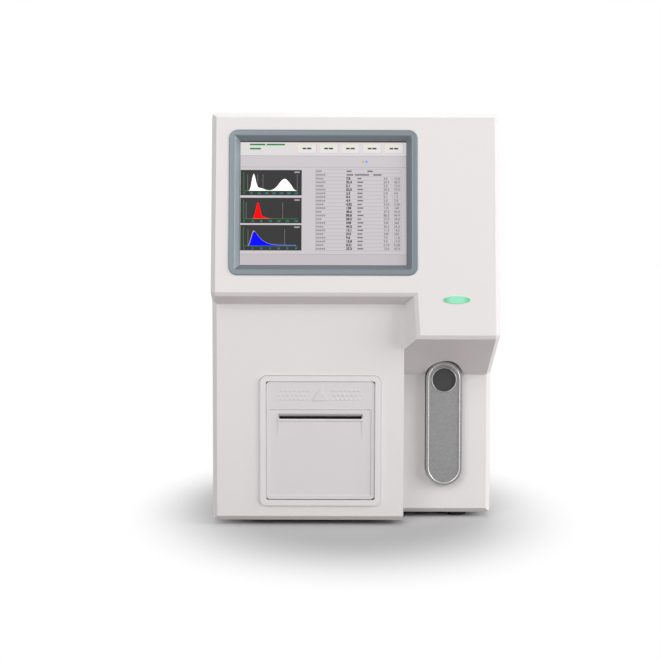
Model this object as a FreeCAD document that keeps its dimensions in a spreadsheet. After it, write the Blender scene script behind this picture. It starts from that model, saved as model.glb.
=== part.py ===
"""Bench blood cell counter: front moulding, case, printer, sampling unit, fluidics and electronics.

Frame: +Z up, front towards -Y, origin on the table under the middle of the outer box.
Heights in the sheet count from the underside of the body, depths from the step edge of the head.
"""
import FreeCAD, Part
import math
import os
import Sketcher

Vector = FreeCAD.Vector

# Driving sizes in millimetres, angles in degrees
SIZES = {
    "body_width": 295.6,
    "body_height": 423.5,
    "case_depth": 360,
    "foot_height": 5.5,
    "foot_radius": 11,
    "foot_inset": 34,
    "edge_chamfer": 4.75,
    "corner_round": 5,
    "cover_wall": 3,
    "cover_depth": 120,
    "sheet_wall": 1.5,
    "lip_height": 12,
    "part_gap": 0.3,
    "turn_gap": 0.05,
    "cut_over": 2,
    "head_tilt": 6.86,
    "panel_lean": 2.2,
    "step_height": 236.1,
    "step_depth": 20,
    "step_drop": 9.4,
    "overhang_height": 192.9,
    "bay_depth": 79.5,
    "bay_drop": 43.2,
    "block_right": 51.2,
    "block_chamfer": 2.7,
    "lip_chamfer": 2.8,
    "flank_slant": 9.7,
    # Display
    "screen_x": -33,
    "screen_rise": 95.5,
    "screen_wide": 170.9,
    "screen_high": 128.2,
    "bezel_side": 11.15,
    "bezel_band": 11.05,
    "bezel_round": 9,
    "bezel_proud": 1.2,
    "bezel_land": 5.8,
    "bezel_sink": 5,
    "panel_thick": 6,
    "panel_margin": 6,
    "board_thick": 1.6,
    # Status lamp
    "lamp_x": 103.4,
    "lamp_up": 38.7,
    "lamp_wide": 27,
    "lamp_high": 8,
    "lamp_proud": 0.8,
    "lamp_rim": 1.2,
    # Printer
    "printer_x": -35.4,
    "printer_wide": 125.4,
    "printer_low": 16.1,
    "printer_high": 136,
    "printer_proud": 2,
    "printer_round": 7,
    "ring_lap": 2.2,
    "bucket_wall": 2,
    "bucket_deep": 68,
    "door_wide": 112.7,
    "door_low": 22.9,
    "door_high": 123.4,
    "door_thick": 3,
    "door_round": 4,
    "door_proud": 1,
    "door_plate_sink": 0.8,
    "door_plate_wide": 106.8,
    "door_plate_high": 91,
    "door_plate_low": 3.7,
    "hinge_rise": 2.1,
    "hinge_pin_radius": 1.2,
    "hinge_pin_long": 2,
    "slot_wide": 87.5,
    "slot_high": 2.9,
    "slot_rise": 85.4,
    "dot_radius": 0.9,
    "dot_proud": 0.6,
    "dot_pitch": 4.6,
    "dot_rise": 104.7,
    "mark_wide": 16,
    "mark_high": 12,
    "mark_rise": 103.7,
    "mark_proud": 0.8,
    "paper_wide": 79.5,
    "roll_radius": 24,
    "core_radius": 8,
    "core_wall": 2,
    "roll_rise": 66,
    "roll_deep": 40,
    "platen_radius": 6.5,
    "platen_long": 84,
    "platen_rise": 106,
    "platen_deep": 17,
    "platen_shaft": 2,
    "side_plate": 2,
    "gear_module": 0.8,
    "gear_thick": 3.5,
    "head_high": 8,
    "head_deep": 22,
    # Aspirate key and needle
    "key_x": 96.8,
    "key_low": 31,
    "key_wide": 38.4,
    "key_fall": 28.5,
    "key_proud": 10,
    "key_deep": 18.5,
    "key_wall": 2.5,
    "key_gap": 0.6,
    "key_edge": 2.6,
    "key_pin_radius": 1.5,
    "key_pin_long": 3,
    "pocket_gap": 2,
    "nose_radius": 12.4,
    "nose_fall": 19.9,
    "nose_sink": 2.4,
    "stem_radius": 3,
    "needle_radius": 1,
    "needle_ahead": 5,
    "needle_hide": 2.5,
    "door_gap": 0.3,
    "door_foot_gap": 0.9,
    "hinge_lap": 3,
    "lead_high": 3,
    "rib_long": 24,
    "rib_thick": 1.4,
    "lug_wide": 10,
    "lug_long": 3.5,
    "lug_high": 2,
    "lug_drop": 3,
    "jaw_thick": 1.2,
    "jaw_gap": 0.5,
    "side_gap": 0.6,
    "plate_front": 8,
    "plate_drop": 12,
    "motor_radius": 6.5,
    "motor_shaft": 1,
    "motor_long": 22,
    "fin_thick": 1.2,
    "fin_high": 5,
    "fin_pitch": 4,
    "root_share": 1.25,
    "tip_share": 0.9,
    "foot_share": 0.78,
    "land_share": 0.3,
    "key_dish": 1.2,
    "nose_gap": 0.5,
    "nose_edge": 1.2,
    "nose_dish": 1,
    "ear_thick": 2,
    "ear_half": 6,
    "bracket_gap": 8,
    "micro_wide": 12,
    "micro_deep": 19.5,
    "micro_high": 10,
    "switch_rise": 12,
    # Needle drive
    "frame_rise": 7.1,
    "frame_fall": 35.5,
    "frame_wide": 60,
    "frame_thick": 3,
    "frame_back": 10,
    "screw_back": 20,
    "shelf_reach": 8,
    "arm_high": 14,
    "rod_pitch": 34,
    "rail_radius": 3,
    "lead_radius": 3,
    "step_motor": 28,
    "step_motor_high": 26,
    "carriage_fall": 83.5,
    "carriage_tall": 16,
    "carriage_wide": 46,
    # Case
    "slope_share": 1.25,
    "deck_depth": 190,
    "deck_fall": 23.5,
    "deck_hole_x": 118,
    "deck_hole_fall": 43.5,
    "grommet_radius": 9,
    "boss_radius": 4.5,
    "boss_long": 30,
    "screw_radius": 1.6,
    "screw_head": 3.4,
    "screw_high": 2.2,
    "screw_inset": 9,
    "vent_inset": 42,
    "vent_pitch": 9,
    "vent_wide": 3.2,
    "vent_fall": 103.5,
    "vent_high": 70,
    # Display inside
    "bezel_lap": 3,
    "ear_pitch": 198,
    "ear_rise": 100,
    "board_wide": 120,
    "board_high": 80,
    "chip_wide": 18,
    "chip_high": 3,
    "lamp_drop": 6,
    "diode_wide": 3.5,
    "diode_high": 1.5,
    # Fluidics
    "syringe_x": -105,
    "syringe_fall": 48.5,
    "syringe_out": 28,
    "syringe_wide": 56,
    "syringe_deep": 24,
    "block_high": 14,
    "barrel_long": 60,
    "barrel_pitch": 28,
    "barrel_wall": 1.5,
    "big_barrel": 11,
    "small_barrel": 6,
    "stroke": 40,
    "seal_high": 5,
    "rail_wide": 20,
    "bath_x": 70,
    "bath_high": 75,
    "bath_out": 32,
    "bath_radius": 20,
    "bath_wall": 2,
    "bath_pitch": 50,
    "bath_tall": 55,
    "bath_floor": 14,
    "cell_size": 12,
    "valve_x": -15,
    "valve_high": 270,
    "valve_pitch": 17,
    "manifold_deep": 15,
    "manifold_high": 22,
    "coil_long": 30,
    "coil_wide": 14,
    "coil_high": 16,
    "chamber_x": -105,
    "chamber_radius": 24,
    "chamber_low": 60,
    "chamber_tall": 90,
    "lid_high": 6,
    "barb_long": 10,
    "pump_x": -20,
    "pump_high": 150,
    "pump_radius": 24,
    "pump_deep": 40,
    "rotor_deep": 18,
    "rotor_hub": 10,
    "roller_radius": 4.5,
    "roller_orbit": 13.5,
    "axle_radius": 2.5,
    "air_x": 40,
    "air_wide": 45,
    "air_deep": 60,
    "air_tall": 50,
    # Electronics
    "board_x": -10,
    "main_wide": 220,
    "main_tall": 200,
    "main_fall": 158.5,
    "post_long": 12,
    "supply_x": -75,
    "supply_wide": 110,
    "supply_deep": 120,
    "supply_tall": 45,
    # Rear fan
    "fan_x": 80,
    "fan_fall": 88.5,
    "fan_size": 80,
    "fan_bore": 38,
    "fan_pitch": 71.5,
    "fan_screw": 2.1,
    "fan_deep": 25,
    "fan_hub": 18,
    "strut_deep": 3,
    "blade_gap": 1.5,
    "blade_sweep": 5,
    "blade_thick": 1.5,
    "guard_radius": 12,
    "guard_step": 8.5,
    "guard_wire": 0.9,
    # Rear sockets
    "inlet_x": 95,
    "inlet_high": 55,
    "inlet_wide": 28,
    "inlet_tall": 20,
    "inlet_flange": 11,
    "inlet_deep": 22,
    "flange_thick": 2,
    "blade_wide": 2,
    "blade_high": 4,
    "switch_x": 50,
    "switch_wide": 15,
    "switch_tall": 21,
    "switch_deep": 16,
    "rocker_sink": 4,
    "rocker_rise": 6,
    "rocker_dip": 3,
    "rocker_back": 5,
    "rocker_angle": 8,
    "rocker_gap": 1,
    "port_high": 120,
    "port_deep": 14,
    "serial_x": -100,
    "serial_wide": 31,
    "serial_tall": 12.5,
    "usb_x": -55,
    "usb_wide": 14.5,
    "usb_tall": 16,
    "spigot_x": -115,
    "spigot_pitch": 26,
    "spigot_high": 250,
    "spigot_body": 6,
    "spigot_in": 18,
    "spigot_collar": 4,
    "spigot_radius": 3.2,
    "spigot_bore": 1.6,
    "fitting_reach": 14,
    "socket_x": 5,
    "socket_radius": 5.5,
    "socket_out": 8,
}

# Counts and places of repeated pieces
VENT_COUNT = 14
SUPPLY_VENT_COUNT = 11
DOT_ROW_COUNT = 3
LEFT_DOT_COUNT = 7
RIGHT_DOT_COUNT = 7
FIN_COUNT = 5
VALVE_COUNT = 6
ROLLER_COUNT = 3
BLADE_COUNT = 7
GUARD_RING_COUNT = 4
PLATEN_TOOTH_COUNT = 24
MOTOR_TOOTH_COUNT = 12
SPIGOT_COUNT = 4
CHIP_SHARES = (-0.3, 0, 0.3)
DIODE_SHARES = (-0.25, 0, 0.25)
BLADE_SHARES = ((-0.25, -0.1), (0, 0.15), (0.25, -0.1))
MAIN_CHIP_SHARES = ((-0.3, 0.3), (0, 0.2), (0.3, 0.3), (-0.2, -0.2), (0.2, -0.3))

doc = FreeCAD.newDocument("cell_counter")
sheet = doc.addObject("Spreadsheet::Sheet", "sizes")


class Size:
    """A length written as a sheet expression, so that sums of sizes stay bound to the sheet."""

    def __init__(self, text):
        self.text = text

    def join(self, sign, other, flip=False):
        other = other.text if isinstance(other, Size) else repr(other)
        pair = (other, self.text) if flip else (self.text, other)
        return Size(f"({pair[0]} {sign} {pair[1]})")

    def __add__(self, other):
        return self.join("+", other)

    def __radd__(self, other):
        return self if other == 0 else self.join("+", other, True)

    def __sub__(self, other):
        return self.join("-", other)

    def __rsub__(self, other):
        return self.join("-", other, True)

    def __mul__(self, other):
        return self.join("*", other)

    def __rmul__(self, other):
        return self.join("*", other, True)

    def __truediv__(self, other):
        return self.join("/", other)

    def __neg__(self):
        return Size(f"(0 - {self.text})")

    def value(self):
        return float(sheet.evalExpression(self.text))


def tan(angle):
    return Size(f"tan({angle.text})")


class Sheet:
    """Reads a size by its alias."""

    def __getattr__(self, alias):
        if alias not in SIZES:
            raise KeyError(alias)
        return Size(f"sizes.{alias}")


for row, (alias, number) in enumerate(SIZES.items(), start=1):
    sheet.set(f"A{row}", alias)
    sheet.set(f"B{row}", str(number))
    sheet.setAlias(f"B{row}", alias)
doc.recompute()
S = Sheet()
NODES = []
TURNS = {
    "x": FreeCAD.Rotation(Vector(0, 1, 0), 90),
    "y": FreeCAD.Rotation(Vector(1, 0, 0), -90),
    "z": FreeCAD.Rotation(),
}
PLANES = {
    "x": FreeCAD.Rotation(Vector(1, 1, 1), 120),
    "y": FreeCAD.Rotation(Vector(1, 0, 0), 90),
    "z": FreeCAD.Rotation(),
}
ALONG = {"x": Vector(1, 0, 0), "y": Vector(0, 1, 0), "z": Vector(0, 0, 1)}
EDGES = {"z": (1, 3, 5, 7), "y": (2, 4, 6, 8), "x": (9, 10, 11, 12)}


def text_of(size):
    return size.text if isinstance(size, Size) else repr(size)


def number_of(size):
    return size.value() if isinstance(size, Size) else float(size)


def bind(thing, **places):
    for name, size in places.items():
        thing.setExpression(name.replace("_", "."), text_of(size))
    return thing


def place(thing, x=0, y=0, z=0):
    for axis, size in zip("xyz", (x, y, z)):
        thing.setExpression(f"Placement.Base.{axis}", text_of(size))
    return thing


def box(x, y, z):
    """A box between two values on each axis."""
    thing = doc.addObject("Part::Box", "box")
    thing.setExpression("Length", text_of(x[1] - x[0]))
    thing.setExpression("Width", text_of(y[1] - y[0]))
    thing.setExpression("Height", text_of(z[1] - z[0]))
    return place(thing, x[0], y[0], z[0])


def middle_box(centre, spans):
    """A box from its centre and its three full lengths."""
    return box(*((c - w / 2, c + w / 2) for c, w in zip(centre, spans)))


def rod(axis, radius, start, long):
    """A round bar from its start point along an axis."""
    thing = doc.addObject("Part::Cylinder", "rod")
    thing.Placement = FreeCAD.Placement(Vector(), TURNS[axis])
    thing.setExpression("Radius", text_of(radius))
    thing.setExpression("Height", text_of(long))
    return place(thing, *start)


def middle_rod(axis, radius, centre, long):
    """A round bar from its middle and its full length."""
    start = [c - long / 2 if name == axis else c for name, c in zip("xyz", centre)]
    return rod(axis, radius, start, long)


def cone(axis, first, last, start, long):
    thing = doc.addObject("Part::Cone", "cone")
    thing.Placement = FreeCAD.Placement(Vector(), TURNS[axis])
    thing.setExpression("Radius1", text_of(first))
    thing.setExpression("Radius2", text_of(last))
    thing.setExpression("Height", text_of(long))
    return place(thing, *start)


def outline(sketch, points):
    """A closed outline of straight sides whose corners are bound to sheet expressions."""
    count = len(points)
    corners = [Vector(number_of(a), number_of(b), 0) for a, b in points]
    for i in range(count):
        sketch.addGeometry(Part.LineSegment(corners[i], corners[(i + 1) % count]), False)
    for i in range(count):
        sketch.addConstraint(Sketcher.Constraint("Coincident", i, 2, (i + 1) % count, 1))
    for i, point in enumerate(points):
        for kind, size, name in (("DistanceX", point[0], f"across{i}"), ("DistanceY", point[1], f"up{i}")):
            rule = sketch.addConstraint(Sketcher.Constraint(kind, -1, 1, i, 1, number_of(size)))
            sketch.renameConstraint(rule, name)
            sketch.setExpression(f"Constraints.{name}", text_of(size))
    return sketch


def prism(axis, points, low, high):
    """An outline in the plane square to an axis, drawn out between two values on that axis."""
    sketch = outline(doc.addObject("Sketcher::SketchObject", "profile"), points)
    sketch.Placement = FreeCAD.Placement(Vector(), PLANES[axis])
    sketch.setExpression(f"Placement.Base.{axis}", text_of(low))
    solid = doc.addObject("Part::Extrusion", "prism")
    solid.Base = sketch
    solid.DirMode = "Custom"
    solid.Dir = ALONG[axis]
    solid.Solid = True
    solid.setExpression("LengthFwd", text_of(high - low))
    return solid


def rounded(base, axis, radius):
    """A box with the four edges along one axis rounded."""
    doc.recompute()
    thing = doc.addObject("Part::Fillet", "rounded")
    thing.Base = base
    thing.Edges = [(edge, number_of(radius), number_of(radius)) for edge in EDGES[axis]]
    return thing


def fuse(*things):
    thing = doc.addObject("Part::MultiFuse", "fuse")
    thing.Shapes = list(things)
    return thing


def group(*things):
    thing = doc.addObject("Part::Compound", "group")
    thing.Links = list(things)
    return thing


def cut(base, *tools):
    thing = doc.addObject("Part::Cut", "cut")
    thing.Base = base
    thing.Tool = tools[0] if len(tools) == 1 else fuse(*tools)
    return thing


def common(one, other):
    thing = doc.addObject("Part::Common", "common")
    thing.Base = one
    thing.Tool = other
    return thing


def stadium(axis, wide, high, centre, low, long, grow=0):
    """A slab with two half round ends, upright, drawn out along an axis from low."""
    radius = wide / 2 + grow
    reach = high / 2 - wide / 2
    x, z = centre
    ends = [rod(axis, radius, (x, low, z + reach), long), rod(axis, radius, (x, low, z - reach), long)]
    bar = box((x - radius, x + radius), (low, low + long), (z - reach, z + reach))
    return fuse(bar, *ends)


def node(label, thing):
    """Names a finished piece for the files."""
    thing.Label = label
    NODES.append(thing)
    return thing


# Shared places
FLOOR = S.foot_height
HALF = S.body_width / 2
NOSE = (S.step_height - S.overhang_height) * tan(S.head_tilt)
BEZEL_WIDE = S.screen_wide + 2 * S.bezel_side
BEZEL_HIGH = S.screen_high + 2 * S.bezel_band
LAMP_RISE = S.overhang_height + S.lamp_up - S.step_height
FRONT = (NOSE - S.case_depth - S.fitting_reach) / 2
BACK = FRONT + S.case_depth
TOP = FLOOR + S.body_height
SEAM = FRONT + S.cover_depth
DECK = FRONT + S.deck_depth
INNER = HALF - S.sheet_wall
KEY_HIGH = S.overhang_height - S.key_low - S.key_fall
FAN_Z = TOP - S.fan_fall


def head_frame(thing):
    """Stands a piece that is modelled square on the tilted head face, from the step edge."""
    thing = group(thing)
    thing.Placement = FreeCAD.Placement(Vector(), FreeCAD.Rotation(Vector(1, 0, 0), -10))
    thing.setExpression("Placement.Rotation.Angle", text_of(-S.head_tilt))
    return place(thing, 0, FRONT, FLOOR + S.step_height)


def panel_frame(thing):
    """Stands a piece that is modelled square on the printer panel, from the foot of the body."""
    thing = group(thing)
    thing.Placement = FreeCAD.Placement(Vector(), FreeCAD.Rotation(Vector(1, 0, 0), 10))
    thing.setExpression("Placement.Rotation.Angle", text_of(S.panel_lean))
    return place(thing, 0, FRONT + S.step_depth + S.step_height * tan(S.panel_lean), FLOOR)


def face_depth(height):
    """How far back the head face lies at a height."""
    return FRONT + (height - S.step_height) * tan(S.head_tilt)


def panel_depth(height):
    """How far back the printer panel lies at a height."""
    return FRONT + S.step_depth + (S.step_height - height) * tan(S.panel_lean)


def side_profile(skin):
    """The head with its overhang and the sampling bay wall, drawn in by a skin."""
    low = S.overhang_height + skin * S.slope_share
    bay = FRONT + S.bay_depth + skin
    back = SEAM + (S.cut_over if isinstance(skin, Size) else 0)
    return [
        (face_depth(low) + skin, FLOOR + low),
        (face_depth(S.body_height - skin) + skin, TOP - skin),
        (back, TOP - skin),
        (back, FLOOR + skin),
        (bay, FLOOR + skin),
        (bay, FLOOR + low - S.bay_drop),
    ]


def step_profile(skin):
    """The space under the step, in front of the printer panel, grown by a skin."""
    edge = FLOOR + S.step_height + skin * S.slope_share
    ahead = FRONT - S.step_depth
    return [
        (FRONT, edge),
        (panel_depth(S.step_height - S.step_drop) + skin, edge - S.step_drop),
        (panel_depth(0) + skin, FLOOR),
        (ahead, FLOOR),
        (ahead, edge),
    ]


def flank_profile(skin):
    """The same space seen from above, up to the slanted flank of the head."""
    right = S.block_right + skin * S.slope_share
    behind = panel_depth(0) + skin
    left = -HALF - S.cut_over
    return [
        (left, FRONT - S.step_depth),
        (right + 2 * S.flank_slant, FRONT - S.step_depth),
        (right, FRONT + S.step_depth + skin),
        (right, behind + S.cut_over),
        (left, behind + S.cut_over),
    ]


def step_space(skin):
    across = prism("x", step_profile(skin), -HALF - S.cut_over, HALF)
    above = prism("z", flank_profile(skin), FLOOR - S.cut_over, TOP)
    return common(across, above)


def block_profile(skin):
    """The printer block below the step."""
    back = SEAM + (S.cut_over if isinstance(skin, Size) else 0)
    lift = skin * S.slope_share
    top = S.step_height - S.step_drop
    return [
        (panel_depth(top) + skin, FLOOR + top + lift),
        (panel_depth(0) + skin, FLOOR + skin),
        (back, FLOOR + skin),
        (back, FLOOR + top + lift),
    ]


def on_block(bounds):
    """Whether an upright edge is the printer block's front corner beside the bay."""
    near = S.part_gap.value()
    low = abs(bounds.ZMin - FLOOR.value()) < near
    return low and bounds.YMax < panel_depth(0).value() + near and bounds.ZMax > S.overhang_height.value()


def front_edges(shape):
    """Numbers of the edges round the front outline, with their chamfer sizes."""
    picked = []
    side = HALF.value()
    top = TOP.value()
    floor = FLOOR.value()
    right = S.block_right.value()
    seam = SEAM.value()
    near = S.part_gap.value() / 10
    lean = math.tan(math.radians(S.head_tilt.value()))
    step = FLOOR.value() + S.step_height.value()
    for number, edge in enumerate(shape.Edges, start=1):
        bounds = edge.BoundBox
        if bounds.YMax > seam - near:
            continue
        on_side = bounds.XMax - bounds.XMin < near and abs(abs(bounds.Center.x) - side) < near
        level = bounds.ZMax - bounds.ZMin < near
        on_rim = level and min(abs(bounds.ZMin - top), abs(bounds.ZMin - floor)) < near
        if on_side or (on_rim and bounds.XMax - bounds.XMin > near):
            picked.append((number, S.edge_chamfer.value(), S.edge_chamfer.value()))
        elif abs(bounds.XMin - right) < near and abs(bounds.XMax - right) < near and on_block(bounds):
            picked.append((number, S.block_chamfer.value(), S.block_chamfer.value()))
        elif bounds.ZMax < step + near and all(
            abs(FRONT.value() + (corner.Z - step) * lean - corner.Y) < near for corner in edge.Vertexes
        ):
            picked.append((number, S.lip_chamfer.value(), S.lip_chamfer.value()))
    return picked


def printer_hole(grow):
    """The opening behind the printer's ring, square on the panel."""
    half = S.printer_wide / 2 - S.ring_lap + grow
    low = S.printer_low + S.ring_lap - grow
    high = S.printer_low + S.printer_high - S.ring_lap + grow
    return (S.printer_x - half, S.printer_x + half), (low, high)


def key_stadium(low, long, grow=0):
    centre = (S.key_x, FLOOR + S.key_low + KEY_HIGH / 2)
    return stadium("y", S.key_wide, KEY_HIGH, centre, low, long, grow)


def oval(wide, high, centre, low, long):
    """An oval bar along Y."""
    ring = doc.addObject("Part::Ellipse", "oval")
    ring.Placement = FreeCAD.Placement(Vector(), PLANES["y"])
    bind(ring, MajorRadius=wide / 2, MinorRadius=high / 2)
    place(ring, centre[0], low, centre[1])
    solid = doc.addObject("Part::Extrusion", "oval_bar")
    solid.Base = ring
    solid.DirMode = "Custom"
    solid.Dir = Vector(0, 1, 0)
    solid.Solid = True
    solid.setExpression("LengthFwd", text_of(long))
    return solid


NEEDLE_X = S.key_x
BAY = FRONT + S.bay_depth
KEY_FACE = BAY - S.key_proud
NEEDLE_Y = KEY_FACE - S.needle_ahead
NOSE_Z = FLOOR + S.key_low + KEY_HIGH - S.nose_fall
ROOF_Z = FLOOR + S.key_low + KEY_HIGH + S.pocket_gap
BOLT_X = HALF - S.cover_wall / 2 - S.boss_radius
ROCKER_Y = BACK - S.rocker_sink


def make_front_cover():
    """The front moulding: one hollow shell with head, step, printer block and sampling bay."""
    solid = cut(prism("x", side_profile(0), -HALF, HALF), step_space(0))
    solid = fuse(solid, prism("x", block_profile(0), -HALF, S.block_right))
    solid.Refine = True
    doc.recompute()
    outer = doc.addObject("Part::Chamfer", "outer")
    outer.Base = solid
    outer.Edges = front_edges(solid.Shape)
    wall = S.cover_wall
    inside = cut(prism("x", side_profile(wall), -HALF + wall, HALF - wall), step_space(wall))
    inside = fuse(inside, prism("x", block_profile(wall), -HALF + wall, S.block_right - wall))
    corners = rounded(box((-HALF, HALF), (FRONT - S.step_depth, SEAM), (FLOOR, TOP)), "y", S.corner_round)
    shell = cut(common(outer, corners), inside)
    hood = common(outer, key_stadium(FRONT + wall, S.bay_depth, S.pocket_gap + wall))
    bosses = [
        rod("y", S.boss_radius, (x, SEAM - S.boss_long, z), S.boss_long)
        for x in (-BOLT_X, BOLT_X)
        for z in (FLOOR + wall / 2 + S.boss_radius, TOP - wall / 2 - S.boss_radius)
    ]
    shell = fuse(shell, hood, *bosses)
    pocket = key_stadium(FRONT - S.bay_depth, 2 * S.bay_depth, S.pocket_gap)
    key_hole = key_stadium(FRONT, S.cover_depth, S.key_gap)
    stem_hole = rod(
        "z", S.stem_radius + S.part_gap, (NEEDLE_X, NEEDLE_Y, ROOF_Z - S.cover_wall), S.step_height
    )
    half_wide = BEZEL_WIDE / 2 - S.bezel_lap
    half_high = BEZEL_HIGH / 2 - S.bezel_lap
    window = head_frame(
        box(
            (S.screen_x - half_wide, S.screen_x + half_wide),
            (-S.step_depth, S.step_depth),
            (S.screen_rise - half_high, S.screen_rise + half_high),
        )
    )
    lamp = head_frame(
        oval(S.lamp_wide, S.lamp_high, (S.lamp_x, LAMP_RISE), -S.step_depth, 2 * S.step_depth)
    )
    across, up = printer_hole(S.part_gap)
    printer = panel_frame(box(across, (-S.step_depth, S.bucket_deep), up))
    pilots = [
        rod("y", S.screw_radius, (x, SEAM - S.boss_long / 2, z), S.boss_long)
        for x in (-BOLT_X, BOLT_X)
        for z in (FLOOR + wall / 2 + S.boss_radius, TOP - wall / 2 - S.boss_radius)
    ]
    return node("front_cover", cut(shell, pocket, key_hole, stem_hole, window, lamp, printer, *pilots))


def arched(inset, along):
    """A block standing on the floor line, its two top corners rounded as the sheet is bent."""
    below = FLOOR - 2 * S.corner_round
    block = box((-HALF + inset, HALF - inset), along, (below, TOP - inset))
    foot = box((-HALF, HALF), along, (below, FLOOR))
    return cut(rounded(block, "y", S.corner_round - inset), foot)


def make_case():
    """The folded steel cover, the floor pan, the upright deck and the rear panel."""
    slots = []
    for side in (-1, 1):
        for i in range(VENT_COUNT):
            y = BACK - S.vent_inset - i * S.vent_pitch
            x = (-HALF - S.cut_over, -INNER + S.cut_over) if side < 0 else (
                INNER - S.cut_over, HALF + S.cut_over
            )
            slots.append(box(x, (y, y + S.vent_wide), (TOP - S.vent_fall - S.vent_high, TOP - S.vent_fall)))
    outer = arched(0, (SEAM, BACK))
    inner = arched(S.sheet_wall, (SEAM - S.cut_over, BACK + S.cut_over))
    node("case_cover", cut(outer, inner, *slots))
    wall = S.sheet_wall
    pan = box((-INNER, INNER), (SEAM, BACK - wall), (FLOOR, FLOOR + S.lip_height))
    hollow = box((-INNER + wall, INNER - wall), (SEAM - S.cut_over, BACK), (FLOOR + wall, TOP))
    node("base_pan", cut(pan, hollow))
    deck_half = INNER - wall - S.part_gap
    plate = box((-deck_half, deck_half), (DECK, DECK + wall), (FLOOR + wall, TOP - S.deck_fall))
    foot = box((-deck_half, deck_half), (DECK, DECK + S.lip_height), (FLOOR + wall, FLOOR + 2 * wall))
    low = FLOOR + S.chamber_low
    shelf = box(
        (S.chamber_x - S.chamber_radius, S.chamber_x + S.chamber_radius),
        (DECK - 2 * S.chamber_radius, DECK),
        (low - wall, low),
    )
    pass_through = rod(
        "y", S.grommet_radius, (S.deck_hole_x, DECK - wall, TOP - S.deck_hole_fall), S.lip_height
    )
    node("deck_plate", cut(fuse(plate, foot, shelf), pass_through))


def rear_plate_tools():
    """Cut-outs of the rear panel, from the pieces that they take."""
    low = BACK - S.lip_height
    long = 2 * S.lip_height
    gap = S.part_gap
    tools = [rod("y", S.fan_bore, (S.fan_x, low, FAN_Z), long)]
    spread = S.fan_pitch / 2
    for side in (-1, 1):
        for up in (-1, 1):
            centre = (S.fan_x + side * spread, low, FAN_Z + up * spread)
            tools.append(rod("y", S.fan_screw + gap, centre, long))
    for x, z, wide, high in (
        (S.inlet_x, S.inlet_high, S.inlet_wide, S.inlet_tall),
        (S.switch_x, S.inlet_high, S.switch_wide, S.switch_tall),
        (S.serial_x, S.port_high, S.serial_wide, S.serial_tall),
        (S.usb_x, S.port_high, S.usb_wide, S.usb_tall),
    ):
        tools.append(middle_box((x, BACK, FLOOR + z), (wide + 2 * gap, long, high + 2 * gap)))
    for i in range(SPIGOT_COUNT):
        centre = (S.spigot_x + i * S.spigot_pitch, low, FLOOR + S.spigot_high)
        tools.append(rod("y", S.spigot_body + gap, centre, long))
    tools.append(rod("y", S.socket_radius + gap, (S.socket_x, low, FLOOR + S.spigot_high), long))
    return tools


def make_rear_panel():
    wall = S.sheet_wall
    sheet = box((-INNER, INNER), (BACK - wall, BACK), (FLOOR, TOP - wall))
    plate = common(arched(wall, (SEAM, BACK)), sheet)
    node("rear_panel", cut(plate, *rear_plate_tools()))


def make_feet():
    centres = [
        (x, y)
        for x in (-HALF + S.foot_inset, HALF - S.foot_inset)
        for y in (FRONT + S.cover_depth - S.foot_inset / 2, BACK - S.foot_inset)
    ]
    feet = [cone("z", S.foot_radius - S.sheet_wall, S.foot_radius, (x, y, 0), FLOOR) for x, y in centres]
    node("feet", group(*feet))
    heads = [
        rod("y", S.screw_head, (x, BACK, z), S.screw_high)
        for x in (-INNER + S.screw_inset, INNER - S.screw_inset)
        for z in (FLOOR + S.screw_inset, FLOOR + S.body_height / 2, TOP - S.sheet_wall - S.screw_inset)
    ]
    node("case_screws", group(*heads))


def screen_box(wide, high, low, long):
    """A box centred on the display, between two depths behind the head face."""
    return box(
        (S.screen_x - wide / 2, S.screen_x + wide / 2),
        (low, low + long),
        (S.screen_rise - high / 2, S.screen_rise + high / 2),
    )


def funnel(front_wide, front_high, back_wide, back_high, low, long):
    """A four sided funnel through the bezel, narrowing towards the glass."""
    wires = []
    for wide, high, depth in ((front_wide, front_high, low), (back_wide, back_high, low + long)):
        half = wide / 2
        up = high / 2
        corners = [
            (S.screen_x - half, S.screen_rise - up),
            (S.screen_x + half, S.screen_rise - up),
            (S.screen_x + half, S.screen_rise + up),
            (S.screen_x - half, S.screen_rise + up),
        ]
        sketch = outline(doc.addObject("Sketcher::SketchObject", "frame_line"), corners)
        sketch.Placement = FreeCAD.Placement(Vector(), PLANES["y"])
        sketch.setExpression("Placement.Base.y", text_of(depth))
        wires.append(sketch)
    loft = doc.addObject("Part::Loft", "funnel")
    loft.Sections = wires
    loft.Solid = True
    loft.Ruled = True
    return loft


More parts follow.
